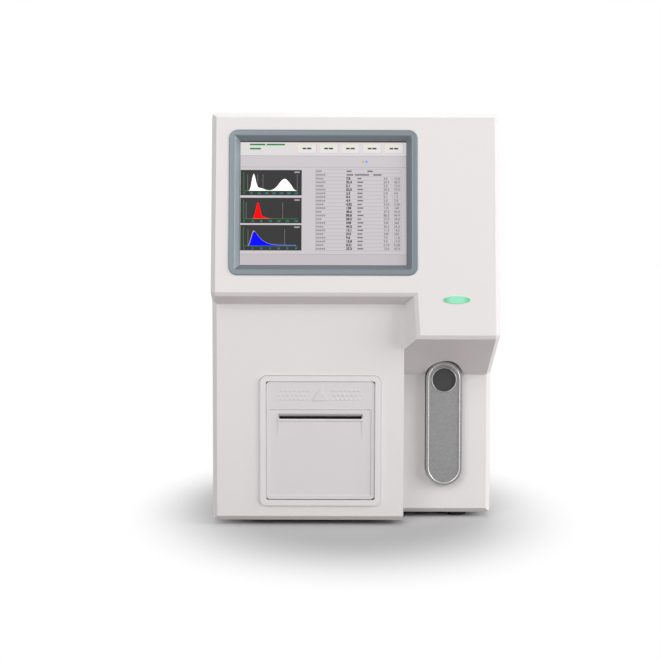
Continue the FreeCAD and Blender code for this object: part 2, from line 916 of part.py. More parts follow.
def make_display():
    """Bezel ring with sloping inner flanks, glass, liquid crystal panel, bracket and board."""
    flange = rounded(
        screen_box(BEZEL_WIDE, BEZEL_HIGH, -S.bezel_proud, S.bezel_proud), "y", S.bezel_round
    )
    inner_wide = BEZEL_WIDE - 2 * S.bezel_lap - 2 * S.part_gap
    inner_high = BEZEL_HIGH - 2 * S.bezel_lap - 2 * S.part_gap
    sleeve = screen_box(inner_wide, inner_high, -S.bezel_proud, S.bezel_sink + S.bezel_proud)
    mouth_wide = BEZEL_WIDE - 2 * S.bezel_land
    mouth_high = BEZEL_HIGH - 2 * S.bezel_land
    throat = funnel(
        mouth_wide, mouth_high, S.screen_wide, S.screen_high, -S.bezel_proud, S.bezel_sink + S.bezel_proud
    )
    node("screen_bezel", head_frame(cut(fuse(flange, sleeve), throat)))
    glass_wide = S.screen_wide + S.panel_margin
    glass_high = S.screen_high + S.panel_margin
    glass = screen_box(glass_wide, glass_high, S.bezel_sink, S.board_thick)
    node("touch_glass", head_frame(glass))
    panel_front = S.bezel_sink + S.board_thick
    panel = screen_box(glass_wide, glass_high, panel_front, S.panel_thick)
    node("lcd_panel", head_frame(panel))
    tray_front = panel_front + S.panel_thick
    tray = screen_box(glass_wide, glass_high, tray_front, S.sheet_wall)
    ears = []
    for side in (-1, 1):
        for up in (-1, 1):
            x = S.screen_x + side * S.ear_pitch / 2
            z = S.screen_rise + up * S.ear_rise / 2
            ears.append(rod("y", S.boss_radius, (x, tray_front, z), S.sheet_wall))
    arms = [
        middle_box(
            (S.screen_x, tray_front + S.sheet_wall / 2, S.screen_rise + up * S.ear_rise / 2),
            (S.ear_pitch, S.sheet_wall, 2 * S.boss_radius),
        )
        for up in (-1, 1)
    ]
    posts = [
        rod(
            "y",
            S.boss_radius - S.screw_radius,
            (
                S.screen_x + side * S.ear_pitch / 2,
                S.cover_wall,
                S.screen_rise + up * S.ear_rise / 2,
            ),
            tray_front - S.cover_wall,
        )
        for side in (-1, 1)
        for up in (-1, 1)
    ]
    node("lcd_bracket", head_frame(fuse(tray, *arms, *ears, *posts)))
    board_front = tray_front + S.sheet_wall
    board = screen_box(S.board_wide, S.board_high, board_front, S.board_thick)
    chips = [
        middle_box(
            (S.screen_x + shift * S.board_wide, board_front + S.board_thick + S.chip_high / 2, S.screen_rise),
            (S.chip_wide, S.chip_high, S.chip_wide),
        )
        for shift in CHIP_SHARES
    ]
    node("display_board", head_frame(fuse(board, *chips)))


def make_lamp():
    """The oval status lens with its flange, and the small board behind it."""
    centre = (S.lamp_x, LAMP_RISE)
    gap = S.turn_gap
    lens = oval(
        S.lamp_wide - 2 * gap, S.lamp_high - 2 * gap, centre, -S.lamp_proud, S.lamp_proud + S.cover_wall
    )
    flange = oval(
        S.lamp_wide + 2 * S.cover_wall, S.lamp_high + 2 * S.cover_wall, centre, S.cover_wall, S.lamp_rim
    )
    node("lamp_lens", head_frame(fuse(lens, flange)))
    depth = S.cover_wall + S.lamp_rim
    spans = (S.lamp_wide + 2 * S.cover_wall, S.board_thick, 2 * S.lamp_high)
    board = middle_box((S.lamp_x, depth + S.lamp_drop + S.board_thick / 2, LAMP_RISE), spans)
    legs = [
        middle_box(
            (S.lamp_x + side * S.lamp_wide / 2, depth + S.lamp_drop / 2, LAMP_RISE),
            (S.lamp_rim, S.lamp_drop, S.lamp_rim),
        )
        for side in (-1, 1)
    ]
    diodes = [
        middle_box(
            (S.lamp_x + share * S.lamp_wide, depth + S.lamp_drop - S.diode_high / 2, LAMP_RISE),
            (S.diode_wide, S.diode_high, S.diode_wide),
        )
        for share in DIODE_SHARES
    ]
    node("lamp_board", head_frame(fuse(board, *legs, *diodes)))


# Printer places, square on the panel: across, depth behind the panel, height from the foot
DOOR_Z = S.door_low
HINGE_Z = S.door_low + S.hinge_rise
HINGE_Y = S.door_thick / 2 - S.door_proud
LUG_Z = S.door_low + S.door_high - S.lug_drop
PLATE_X = S.platen_long / 2 + S.side_gap
GEAR_X = S.printer_x + PLATE_X + S.side_plate + S.side_gap
PLATEN_Y = S.platen_deep
PLATEN_Z = S.platen_rise
MOTOR_TURN = 180 / MOTOR_TOOTH_COUNT
MOTOR_Y = PLATEN_Y + S.gear_module * (PLATEN_TOOTH_COUNT + MOTOR_TOOTH_COUNT) / 2 + S.part_gap


def make_printer_frame():
    """The raised ring on the panel with the bucket behind it, open at the front."""
    half = S.printer_wide / 2
    low = S.printer_low
    ring = rounded(
        box(
            (S.printer_x - half, S.printer_x + half),
            (-S.printer_proud, 0 * S.printer_proud),
            (low, low + S.printer_high),
        ),
        "y",
        S.printer_round,
    )
    across, up = printer_hole(0)
    sleeve = box(across, (-S.printer_proud, S.bucket_deep), up)
    gap = S.door_gap
    wall = S.bucket_wall
    mouth_half = S.door_wide / 2 + gap
    mouth = rounded(
        box(
            (S.printer_x - mouth_half, S.printer_x + mouth_half),
            (-S.printer_proud - S.cut_over, S.door_thick + wall),
            (S.door_low - S.door_foot_gap, S.door_low + S.door_high + gap),
        ),
        "y",
        S.door_round / 2,
    )
    room = box(
        (S.printer_x - mouth_half, S.printer_x + mouth_half),
        (S.door_thick, S.bucket_deep - wall),
        (S.door_low - S.door_foot_gap, up[1] - wall),
    )
    reach = S.hinge_pin_long + S.part_gap
    holes = [
        middle_rod(
            "x",
            S.hinge_pin_radius + S.turn_gap,
            (S.printer_x + side * (mouth_half + (reach - S.door_round) / 2), HINGE_Y, HINGE_Z),
            reach + S.door_round,
        )
        for side in (-1, 1)
    ]
    shell = cut(fuse(ring, sleeve), mouth, room, *holes)
    node("printer_frame", panel_frame(fuse(shell, *catch_jaws())))


def catch_jaws():
    """The clip under the bucket's top wall that holds the lug of the closed door."""
    x = S.printer_x
    jaws = [
        box(
            (x - S.lug_wide / 2, x + S.lug_wide / 2),
            (S.door_thick, S.door_thick + S.lug_long),
            (z, z + S.jaw_thick),
        )
        for z in (LUG_Z + S.lug_high / 2 + S.jaw_gap, LUG_Z - S.lug_high / 2 - S.jaw_gap - S.jaw_thick)
    ]
    back = box(
        (x - S.lug_wide / 2, x + S.lug_wide / 2),
        (S.door_thick + S.lug_long, S.door_thick + S.lug_long + S.jaw_thick),
        (
            LUG_Z - S.lug_high / 2 - S.jaw_gap - S.jaw_thick,
            S.printer_low + S.printer_high - S.ring_lap - S.bucket_wall,
        ),
    )
    return [back, *jaws]


def door_dots():
    """Grip dots in three staggered rows either side of the mark."""
    dots = []
    for row in range(DOT_ROW_COUNT):
        shift = S.dot_pitch / 2 * (row % 2)
        for side, count in ((-1, LEFT_DOT_COUNT), (1, RIGHT_DOT_COUNT)):
            for i in range(count):
                x = S.printer_x + side * (S.mark_wide / 2 + S.dot_pitch + i * S.dot_pitch + shift)
                z = S.door_low + S.dot_rise + row * S.dot_pitch
                dots.append(
                    rod("y", S.dot_radius, (x, -S.door_proud - S.dot_proud, z), S.dot_proud + S.dot_radius)
                )
    return dots


def make_printer_door():
    """The drop-down door with paper slot, sunk plate, side ribs, grip dots and hinge stubs."""
    half = S.door_wide / 2
    face = -S.door_proud
    slab = rounded(
        box(
            (S.printer_x - half, S.printer_x + half),
            (face, face + S.door_thick),
            (DOOR_Z, DOOR_Z + S.door_high),
        ),
        "y",
        S.door_round,
    )
    plate_half = S.door_plate_wide / 2
    sunk = box(
        (S.printer_x - plate_half, S.printer_x + plate_half),
        (face - S.cut_over, face + S.door_plate_sink),
        (DOOR_Z + S.door_plate_low, DOOR_Z + S.door_plate_low + S.door_plate_high),
    )
    slot = middle_box(
        (S.printer_x, face + S.door_thick / 2, DOOR_Z + S.slot_rise),
        (S.slot_wide, S.door_thick + 2 * S.cut_over, S.slot_high),
    )
    lead_in = prism(
        "x",
        [
            (face - S.cut_over, DOOR_Z + S.slot_rise),
            (face - S.cut_over, DOOR_Z + S.slot_rise + S.lead_high),
            (face + S.door_plate_sink, DOOR_Z + S.slot_rise + S.lead_high),
            (face + S.door_thick, DOOR_Z + S.slot_rise + S.slot_high / 2),
            (face + S.door_thick, DOOR_Z + S.slot_rise),
        ],
        S.printer_x - S.slot_wide / 2,
        S.printer_x + S.slot_wide / 2,
    )
    ribs = [
        prism(
            "x",
            [
                (face + S.door_plate_sink, DOOR_Z + S.slot_rise),
                (face, DOOR_Z + S.slot_rise),
                (face + S.door_plate_sink, DOOR_Z + S.slot_rise - S.rib_long),
            ],
            S.printer_x + side * S.slot_wide / 2 - S.rib_thick / 2,
            S.printer_x + side * S.slot_wide / 2 + S.rib_thick / 2,
        )
        for side in (-1, 1)
    ]
    mark = prism(
        "y",
        [
            (S.printer_x - S.mark_wide / 2, DOOR_Z + S.mark_rise),
            (S.printer_x + S.mark_wide / 2, DOOR_Z + S.mark_rise),
            (S.printer_x, DOOR_Z + S.mark_rise + S.mark_high),
        ],
        face - S.mark_proud,
        face + S.mark_proud,
    )
    pin_half = half + S.door_gap + S.hinge_pin_long - S.hinge_lap
    pins = [
        middle_rod(
            "x",
            S.hinge_pin_radius,
            (S.printer_x + side * pin_half, HINGE_Y, HINGE_Z),
            2 * S.hinge_lap,
        )
        for side in (-1, 1)
    ]
    lug = box(
        (S.printer_x - S.lug_wide / 2, S.printer_x + S.lug_wide / 2),
        (face + S.door_thick, face + S.door_thick + S.lug_long),
        (LUG_Z - S.lug_high / 2, LUG_Z + S.lug_high / 2),
    )
    plate = cut(slab, sunk, slot, lead_in)
    node("printer_door", panel_frame(fuse(plate, lug, *ribs, mark, *pins, *door_dots())))


def attach(body, sketch, role="XY_Plane"):
    """Lays a sketch on a plane of its own body."""
    plane = [item for item in body.Origin.OriginFeatures if item.Role == role][0]
    sketch.AttachmentSupport = (plane, "")
    sketch.MapMode = "FlatFace"


def circle_sketch(body, name, radius):
    sketch = body.newObject("Sketcher::SketchObject", name)
    attach(body, sketch)
    sketch.addGeometry(Part.Circle(Vector(), Vector(0, 0, 1), number_of(radius)), False)
    sketch.addConstraint(Sketcher.Constraint("Coincident", 0, 3, -1, 1))
    rule = sketch.addConstraint(Sketcher.Constraint("Radius", 0, number_of(radius)))
    sketch.renameConstraint(rule, "radius")
    sketch.setExpression("Constraints.radius", text_of(radius))
    return sketch


def outline_sketch(body, name, points):
    sketch = body.newObject("Sketcher::SketchObject", name)
    attach(body, sketch)
    return outline(sketch, points)


def pad(body, sketch, long):
    """Draws a sketch out along +Z of its body."""
    feature = body.newObject("PartDesign::Pad", "pad")
    feature.Profile = sketch
    feature.setExpression("Length", text_of(long))
    return feature


def through_pocket(body, sketch, long):
    """Cuts a sketch along +Z of its body and checks that it took material away."""
    doc.recompute()
    before = body.Shape.Volume
    feature = body.newObject("PartDesign::Pocket", "pocket")
    feature.Profile = sketch
    feature.Reversed = True
    feature.setExpression("Length", text_of(long))
    doc.recompute()
    if body.Shape.Volume >= before:
        raise RuntimeError(f"{body.Name} pocket cut nothing")
    return feature


def pattern(body, feature, sketch, count):
    """Repeats a feature round the Z axis of its sketch."""
    ring = body.newObject("PartDesign::PolarPattern", "ring")
    ring.Originals = [feature]
    ring.Axis = (sketch, ["N_Axis"])
    ring.Angle = 360
    ring.Occurrences = count
    body.Tip = ring
    return ring


def gear(name, teeth, module, thick, bore, turn):
    """A spur wheel with straight-flanked teeth, modelled on Z with its first tooth on X."""
    body = doc.addObject("PartDesign::Body", name)
    root = module * teeth / 2 - module * S.root_share
    tip = module * teeth / 2 + module * S.tip_share
    disc = circle_sketch(body, "root_circle", root)
    pad(body, disc, thick)
    foot_half = module * S.foot_share
    land_half = module * S.land_share
    start = root - module
    corners = [
        (start, -foot_half), (start, foot_half), (root, foot_half), (tip, land_half), (tip, -land_half)
    ]
    corners.append((root, -foot_half))
    tooth = outline_sketch(body, "tooth", corners)
    pattern(body, pad(body, tooth, thick), tooth, teeth)
    through_pocket(body, circle_sketch(body, "bore", bore), thick)
    body.Placement = FreeCAD.Placement(Vector(), TURNS["x"] * FreeCAD.Rotation(Vector(0, 0, 1), turn))
    return body


def make_print_unit():
    """Side plates, thermal head, platen roller with its gear, motor with its pinion, and paper."""
    x = S.printer_x
    wall_y = S.bucket_deep - S.bucket_wall
    low = PLATEN_Z - S.plate_drop
    high = PLATEN_Z + S.platen_radius + S.part_gap + S.head_high
    plates = []
    for side in (-1, 1):
        centre = x + side * (PLATE_X + S.side_plate / 2)
        plates.append(
            box((centre - S.side_plate / 2, centre + S.side_plate / 2), (S.plate_front, wall_y), (low, high))
        )
    bar = box((x - PLATE_X, x + PLATE_X), (wall_y - S.side_plate, wall_y), (low, high))
    across = 2 * (PLATE_X + S.side_plate + S.cut_over)
    shaft_hole = middle_rod("x", S.platen_shaft + S.turn_gap, (x, PLATEN_Y, PLATEN_Z), across)
    motor_hole = rod("x", S.motor_shaft + S.part_gap, (x, MOTOR_Y, PLATEN_Z), across)
    node("print_chassis", panel_frame(cut(fuse(*plates, bar), shaft_hole, motor_hole)))
    head_low = PLATEN_Z + S.platen_radius + S.part_gap
    head = box(
        (x - PLATE_X, x + PLATE_X), (PLATEN_Y - S.head_deep / 2, PLATEN_Y + S.head_deep / 2), (head_low, high)
    )
    fins = [
        box((x - PLATE_X, x + PLATE_X), (y, y + S.fin_thick), (high, high + S.fin_high))
        for y in (PLATEN_Y - S.head_deep / 2 + i * S.fin_pitch for i in range(FIN_COUNT))
    ]
    node("print_head", panel_frame(fuse(head, *fins)))
    roller = middle_rod("x", S.platen_radius, (x, PLATEN_Y, PLATEN_Z), S.platen_long)
    shaft_left = x - PLATE_X - S.side_plate
    shaft_long = GEAR_X + S.gear_thick - shaft_left
    shaft = rod("x", S.platen_shaft, (shaft_left, PLATEN_Y, PLATEN_Z), shaft_long)
    node("platen_roller", panel_frame(fuse(roller, shaft)))
    wheel = gear("platen_wheel", PLATEN_TOOTH_COUNT, S.gear_module, S.gear_thick, S.platen_shaft, 0)
    place(wheel, GEAR_X, PLATEN_Y, PLATEN_Z)
    node("platen_gear", panel_frame(group(wheel)))
    pinion = gear("motor_wheel", MOTOR_TOOTH_COUNT, S.gear_module, S.gear_thick, S.motor_shaft, MOTOR_TURN)
    place(pinion, GEAR_X, MOTOR_Y, PLATEN_Z)
    shaft_start = x + PLATE_X + S.part_gap
    spin = rod("x", S.motor_shaft, (shaft_start, MOTOR_Y, PLATEN_Z), GEAR_X + S.gear_thick - shaft_start)
    node("motor_pinion", panel_frame(fuse(pinion, spin)))
    can_long = S.motor_long
    can = rod("x", S.motor_radius, (x + PLATE_X - can_long, MOTOR_Y, PLATEN_Z), can_long)
    node("print_motor", panel_frame(group(can)))
    roll_tube = middle_rod("x", S.roll_radius, (x, S.roll_deep, S.roll_rise), S.paper_wide)
    core_hole = middle_rod("x", S.core_radius, (x, S.roll_deep, S.roll_rise), S.paper_wide + S.cut_over)
    node("paper_roll", panel_frame(cut(roll_tube, core_hole)))
    core = middle_rod("x", S.core_radius, (x, S.roll_deep, S.roll_rise), S.paper_wide)
    core_bore = middle_rod(
        "x", S.core_radius - S.core_wall, (x, S.roll_deep, S.roll_rise), S.paper_wide + S.cut_over
    )
    node("paper_core", panel_frame(cut(core, core_bore)))
    room = S.door_wide + 2 * S.door_gap
    spindle = middle_rod("x", S.core_radius - S.core_wall - S.turn_gap, (x, S.roll_deep, S.roll_rise), room)
    node("paper_spindle", panel_frame(group(spindle)))


KEY_PIN_Y = KEY_FACE + S.key_deep - S.key_pin_radius - S.key_wall / 2
BRACKET_BACK = KEY_FACE + S.key_deep + S.bracket_gap


def make_aspirate_unit():
    """The sprung stadium key, its bracket and switch, the black pad in it and the needle guide."""
    solid = key_stadium(KEY_FACE, S.key_deep)
    hollow = key_stadium(KEY_FACE + S.key_wall, S.key_deep, -S.key_wall)
    rim_cut = key_stadium(KEY_FACE - S.cut_over, S.cut_over + S.key_dish, -S.key_edge)
    port_hole = rod("y", S.nose_radius + S.nose_gap, (S.key_x, KEY_FACE - S.cut_over, NOSE_Z), S.key_deep)
    port_bevel = cone(
        "y",
        S.nose_radius + S.nose_gap + S.nose_edge,
        S.nose_radius + S.nose_gap,
        (S.key_x, KEY_FACE + S.key_dish, NOSE_Z),
        S.nose_edge,
    )
    half = S.key_wide / 2
    pins = [
        middle_rod(
            "x",
            S.key_pin_radius,
            (S.key_x + side * (half + S.key_pin_long / 2 - S.key_wall / 2), KEY_PIN_Y, NOSE_Z),
            S.key_pin_long + S.key_wall,
        )
        for side in (-1, 1)
    ]
    node("aspirate_key", fuse(cut(solid, hollow, rim_cut, port_hole, port_bevel), *pins))
    wall_back = BAY + S.cover_wall
    ears = []
    for side in (-1, 1):
        near = half + S.key_gap
        x = S.key_x + side * (near + S.ear_thick / 2)
        ear = box(
            (x - S.ear_thick / 2, x + S.ear_thick / 2),
            (wall_back, BRACKET_BACK),
            (NOSE_Z - S.ear_half, NOSE_Z + S.ear_half),
        )
        ears.append(ear)
    plate = box(
        (S.key_x - half - S.key_gap - S.ear_thick, S.key_x + half + S.key_gap + S.ear_thick),
        (BRACKET_BACK, BRACKET_BACK + S.sheet_wall),
        (FLOOR + S.key_low, NOSE_Z + S.ear_half),
    )
    pin_hole = middle_rod("x", S.key_pin_radius + S.turn_gap, (S.key_x, KEY_PIN_Y, NOSE_Z), S.key_wide * 2)
    node("key_bracket", cut(fuse(plate, *ears), pin_hole))
    switch_z = FLOOR + S.key_low + S.switch_rise
    body = middle_box(
        (S.key_x, BRACKET_BACK - S.micro_deep / 2, switch_z), (S.micro_wide, S.micro_deep, S.micro_high)
    )
    node("key_switch", body)
    nose_front = KEY_FACE + S.nose_sink
    nose_back = BRACKET_BACK - nose_front
    face = rod("y", S.nose_radius, (S.key_x, nose_front, NOSE_Z), nose_back)
    dish = rod(
        "y",
        S.nose_radius - 2 * S.nose_edge,
        (S.key_x, nose_front - S.cut_over, NOSE_Z),
        S.cut_over + S.nose_dish,
    )
    node("needle_port", cut(face, dish))
    stem_top = FLOOR + S.overhang_height
    stem = rod("z", S.stem_radius, (NEEDLE_X, NEEDLE_Y, ROOF_Z), stem_top - ROOF_Z)
    collar = rod("z", 2 * S.stem_radius, (NEEDLE_X, NEEDLE_Y, stem_top), S.frame_rise)
    long_bore = rod("z", S.needle_radius + S.turn_gap, (NEEDLE_X, NEEDLE_Y, NOSE_Z), S.body_height)
    node("needle_guide", cut(fuse(stem, collar), long_bore))


FRAME_LOW = FLOOR + S.overhang_height + S.frame_rise
FRAME_HIGH = TOP - S.frame_fall
CARRIAGE_Z = TOP - S.carriage_fall
SCREW_Y = NEEDLE_Y + S.screw_back
ROD_Y = SCREW_Y


def make_needle_drive():
    """The upright frame, guide rods, lead screw, motor, carriage and sampling needle."""
    plate_front = SCREW_Y + S.frame_back
    half = S.frame_wide / 2
    plate = box(
        (NEEDLE_X - half, NEEDLE_X + half),
        (plate_front, plate_front + S.frame_thick),
        (FRAME_LOW, FRAME_HIGH),
    )
    shelf_front = NEEDLE_Y - S.shelf_reach
    shelves = [
        box((NEEDLE_X - half, NEEDLE_X + half), (shelf_front, plate_front), (z, z + S.frame_thick))
        for z in (FRAME_LOW, FRAME_HIGH - S.frame_thick)
    ]
    arms = [
        box(
            (NEEDLE_X + side * half / 2 - S.frame_thick, NEEDLE_X + side * half / 2 + S.frame_thick),
            (plate_front + S.frame_thick, DECK),
            (z, z + S.arm_high),
        )
        for side in (-1, 1)
        for z in (FRAME_LOW, FRAME_HIGH - S.arm_high)
    ]
    rods_x = (NEEDLE_X - S.rod_pitch / 2, NEEDLE_X + S.rod_pitch / 2)
    holes = [rod("z", S.rail_radius, (x, ROD_Y, FRAME_LOW - S.cut_over), S.body_height) for x in rods_x]
    screw_hole = rod(
        "z", S.lead_radius + S.turn_gap, (NEEDLE_X, SCREW_Y, FRAME_LOW - S.cut_over), S.body_height
    )
    needle_hole = rod(
        "z", S.needle_radius + S.turn_gap, (NEEDLE_X, NEEDLE_Y, FRAME_LOW - S.cut_over), S.arm_high
    )
    node("needle_frame", cut(fuse(plate, *shelves, *arms), *holes, screw_hole, needle_hole))
    rails = [rod("z", S.rail_radius, (x, ROD_Y, FRAME_LOW), FRAME_HIGH - FRAME_LOW) for x in rods_x]
    node("guide_rods", group(*rails))
    screw = rod("z", S.lead_radius, (NEEDLE_X, SCREW_Y, FRAME_LOW), FRAME_HIGH - FRAME_LOW + S.part_gap)
    node("lead_screw", group(screw))
    motor_low = FRAME_HIGH + S.part_gap
    motor = rounded(
        box(
            (NEEDLE_X - S.step_motor / 2, NEEDLE_X + S.step_motor / 2),
            (SCREW_Y - S.step_motor / 2, SCREW_Y + S.step_motor / 2),
            (FRAME_HIGH, FRAME_HIGH + S.step_motor_high),
        ),
        "z",
        S.screw_head,
    )
    recess = rod(
        "z", S.lead_radius + S.part_gap, (NEEDLE_X, SCREW_Y, FRAME_HIGH - S.cut_over), S.cut_over * 2
    )
    node("needle_motor", cut(motor, recess))
    block = box(
        (NEEDLE_X - S.carriage_wide / 2, NEEDLE_X + S.carriage_wide / 2),
        (NEEDLE_Y - S.shelf_reach / 2, SCREW_Y + S.frame_back - 2 * S.part_gap),
        (CARRIAGE_Z, CARRIAGE_Z + S.carriage_tall),
    )
    bores = [
        middle_rod("z", S.rail_radius + S.turn_gap, (x, ROD_Y, CARRIAGE_Z), S.body_height) for x in rods_x
    ]
    nut = middle_rod("z", S.lead_radius + S.turn_gap, (NEEDLE_X, SCREW_Y, CARRIAGE_Z), S.body_height)
    grip = middle_rod("z", S.needle_radius, (NEEDLE_X, NEEDLE_Y, CARRIAGE_Z), S.body_height)
    node("needle_carriage", cut(block, *bores, nut, grip))
    tip = ROOF_Z + S.needle_hide
    point_long = 2 * S.needle_radius
    shaft = rod(
        "z",
        S.needle_radius,
        (NEEDLE_X, NEEDLE_Y, tip + point_long),
        CARRIAGE_Z + S.carriage_tall - tip - point_long,
    )
    point = cone("z", S.needle_radius / 4, S.needle_radius, (NEEDLE_X, NEEDLE_Y, tip), point_long)
    node("sample_needle", fuse(shaft, point))


def make_syringe_unit():
    """Two glass barrels on a block, with both plungers on one driven plate."""
    x = S.syringe_x
    y = DECK - S.syringe_out
    top = TOP - S.syringe_fall
    block = middle_box((x, y, top + S.block_high / 2), (S.syringe_wide, S.syringe_deep, S.block_high))
    rail = box(
        (x - S.rail_wide / 2, x + S.rail_wide / 2),
        (y + S.syringe_deep / 2, DECK),
        (top - S.barrel_long - S.stroke - S.block_high, top + S.block_high),
    )
    node("syringe_block", fuse(block, rail))
    barrels = []
    pushers = []
    for side, radius in ((-1, S.big_barrel), (1, S.small_barrel)):
        centre = x + side * S.barrel_pitch / 2
        tube = rod("z", radius, (centre, y, top - S.barrel_long), S.barrel_long)
        bore_low = top - S.barrel_long - S.cut_over
        bore = rod(
            "z", radius - S.barrel_wall, (centre, y, bore_low), S.barrel_long - S.barrel_wall + S.cut_over
        )
        barrels.append(cut(tube, bore))
        head = radius - S.barrel_wall - S.turn_gap
        head_z = top - S.barrel_wall - S.stroke
        pushers.append(rod("z", head, (centre, y, head_z - S.seal_high), S.seal_high - S.part_gap))
        stem_low = top - S.barrel_long - S.stroke
        pushers.append(rod("z", radius / 2, (centre, y, stem_low), head_z - S.seal_high - stem_low))
    node("syringe_barrels", group(*barrels))
    bar_top = top - S.barrel_long - S.stroke
    bar = middle_box(
        (x, y, bar_top - S.frame_thick), (S.syringe_wide, S.syringe_deep - S.part_gap, 2 * S.frame_thick)
    )
    node("syringe_plungers", fuse(bar, *pushers))


def make_baths():
    """Two counting chambers with funnel floors on a drip tray, fixed to the deck."""
    shelf_z = FLOOR + S.bath_high
    x0 = S.bath_x
    y = DECK - S.bath_out
    half = S.bath_pitch / 2 + S.bath_radius + S.bath_wall
    tray = box(
        (x0 - half, x0 + half), (y - S.bath_radius - S.bath_wall, DECK), (shelf_z - S.sheet_wall, shelf_z)
    )
    lip = box(
        (x0 - half, x0 + half),
        (y - S.bath_radius - 2 * S.bath_wall, y - S.bath_radius - S.bath_wall),
        (shelf_z - S.sheet_wall, shelf_z + S.lip_height),
    )
    drains = []
    cups = []
    for side in (-1, 1):
        centre = x0 + side * S.bath_pitch / 2
        cup = rod("z", S.bath_radius, (centre, y, shelf_z), S.bath_tall)
        room = rod("z", S.bath_radius - S.bath_wall, (centre, y, shelf_z + S.bath_floor), S.bath_tall)
        neck_radius = S.bath_radius / 4
        funnel_low = shelf_z + S.bath_wall
        cone_room = cone(
            "z",
            neck_radius,
            S.bath_radius - S.bath_wall,
            (centre, y, funnel_low),
            shelf_z + S.bath_floor - funnel_low,
        )
        neck = rod("z", neck_radius / 2, (centre, y, shelf_z - S.bath_floor), S.bath_floor)
        drain = rod("z", neck_radius / 4, (centre, y, shelf_z - S.bath_floor - S.cut_over), 2 * S.bath_floor)
        cell = middle_box(
            (centre, y - S.bath_radius, shelf_z + S.bath_floor + S.cell_size / 2), (S.cell_size,) * 3
        )
        cups.append(cut(fuse(cup, neck, cell), room, cone_room, drain))
        drains.append(
            rod("z", neck_radius / 2 + S.part_gap, (centre, y, shelf_z - S.lip_height), 2 * S.lip_height)
        )
    node("counting_baths", group(*cups))
    node("bath_tray", cut(fuse(tray, lip), *drains))


def make_fluidics():
    """Valve bank on its manifold, waste chamber, peristaltic pump and air pump."""
    manifold_low = FLOOR + S.valve_high
    half = (VALVE_COUNT - 1) * S.valve_pitch / 2
    manifold = middle_box(
        (S.valve_x, DECK - S.manifold_deep / 2, manifold_low),
        (2 * half + S.valve_pitch, S.manifold_deep, S.manifold_high),
    )
    node("valve_manifold", manifold)
    coils = []
    for i in range(VALVE_COUNT):
        x = S.valve_x - half + i * S.valve_pitch
        front = DECK - S.manifold_deep - S.coil_long
        coil = middle_box((x, front + S.coil_long / 2, manifold_low), (S.coil_wide, S.coil_long, S.coil_high))
        cap = rod("y", S.coil_wide / 4, (x, front - S.lug_long, manifold_low), S.lug_long)
        coils.append(fuse(coil, cap))
    node("solenoid_valves", group(*coils))
    x = S.chamber_x
    y = DECK - S.chamber_radius - S.sheet_wall
    low = FLOOR + S.chamber_low
    body = rod("z", S.chamber_radius, (x, y, low), S.chamber_tall)
    lid = rod("z", S.chamber_radius - S.cover_wall, (x, y, low + S.chamber_tall), S.lid_high)
    barbs = [
        rod(
            "z",
            S.needle_radius * 2,
            (x + side * S.chamber_radius / 2, y, low + S.chamber_tall + S.lid_high),
            S.barb_long,
        )
        for side in (-1, 1)
    ]
    node("waste_chamber", fuse(body, lid, *barbs))
    pump_x = S.pump_x
    pump_z = FLOOR + S.pump_high
    housing_front = DECK - S.pump_deep
    shell = rod("y", S.pump_radius, (pump_x, housing_front, pump_z), S.pump_deep)
    chamber = rod(
        "y",
        S.pump_radius - S.cover_wall,
        (pump_x, housing_front - S.cut_over, pump_z),
        S.rotor_deep + S.cut_over,
    )
    axle_hole = rod("y", S.axle_radius + S.turn_gap, (pump_x, housing_front, pump_z), S.pump_deep)
    node("pump_housing", cut(shell, chamber, axle_hole))
    rotor_y = housing_front + S.part_gap
    hub = rod("y", S.rotor_hub, (pump_x, rotor_y, pump_z), S.rotor_deep - 2 * S.part_gap)
    axle = rod("y", S.axle_radius, (pump_x, rotor_y, pump_z), S.pump_deep - 2 * S.part_gap)
    rollers = [
        rod(
            "y",
            S.roller_radius,
            (
                pump_x + S.roller_orbit * math.cos(2 * math.pi * i / ROLLER_COUNT),
                rotor_y,
                pump_z + S.roller_orbit * math.sin(2 * math.pi * i / ROLLER_COUNT),
            ),
            S.rotor_deep - 2 * S.part_gap,
        )
        for i in range(ROLLER_COUNT)
    ]
    node("pump_rotor", fuse(hub, axle, *rollers))
    air = rounded(
        box(
            (S.air_x - S.air_wide / 2, S.air_x + S.air_wide / 2),
            (DECK + S.sheet_wall + S.lip_height, DECK + S.sheet_wall + S.lip_height + S.air_deep),
            (FLOOR + S.sheet_wall, FLOOR + S.sheet_wall + S.air_tall),
        ),
        "z",
        S.screw_head,
    )
    motor = rod(
        "z",
        S.air_wide / 3,
        (
            S.air_x,
            DECK + S.sheet_wall + S.lip_height + S.air_deep / 2,
            FLOOR + S.sheet_wall + S.air_tall,
        ),
        S.air_tall / 2,
    )
    node("air_pump", fuse(air, motor))


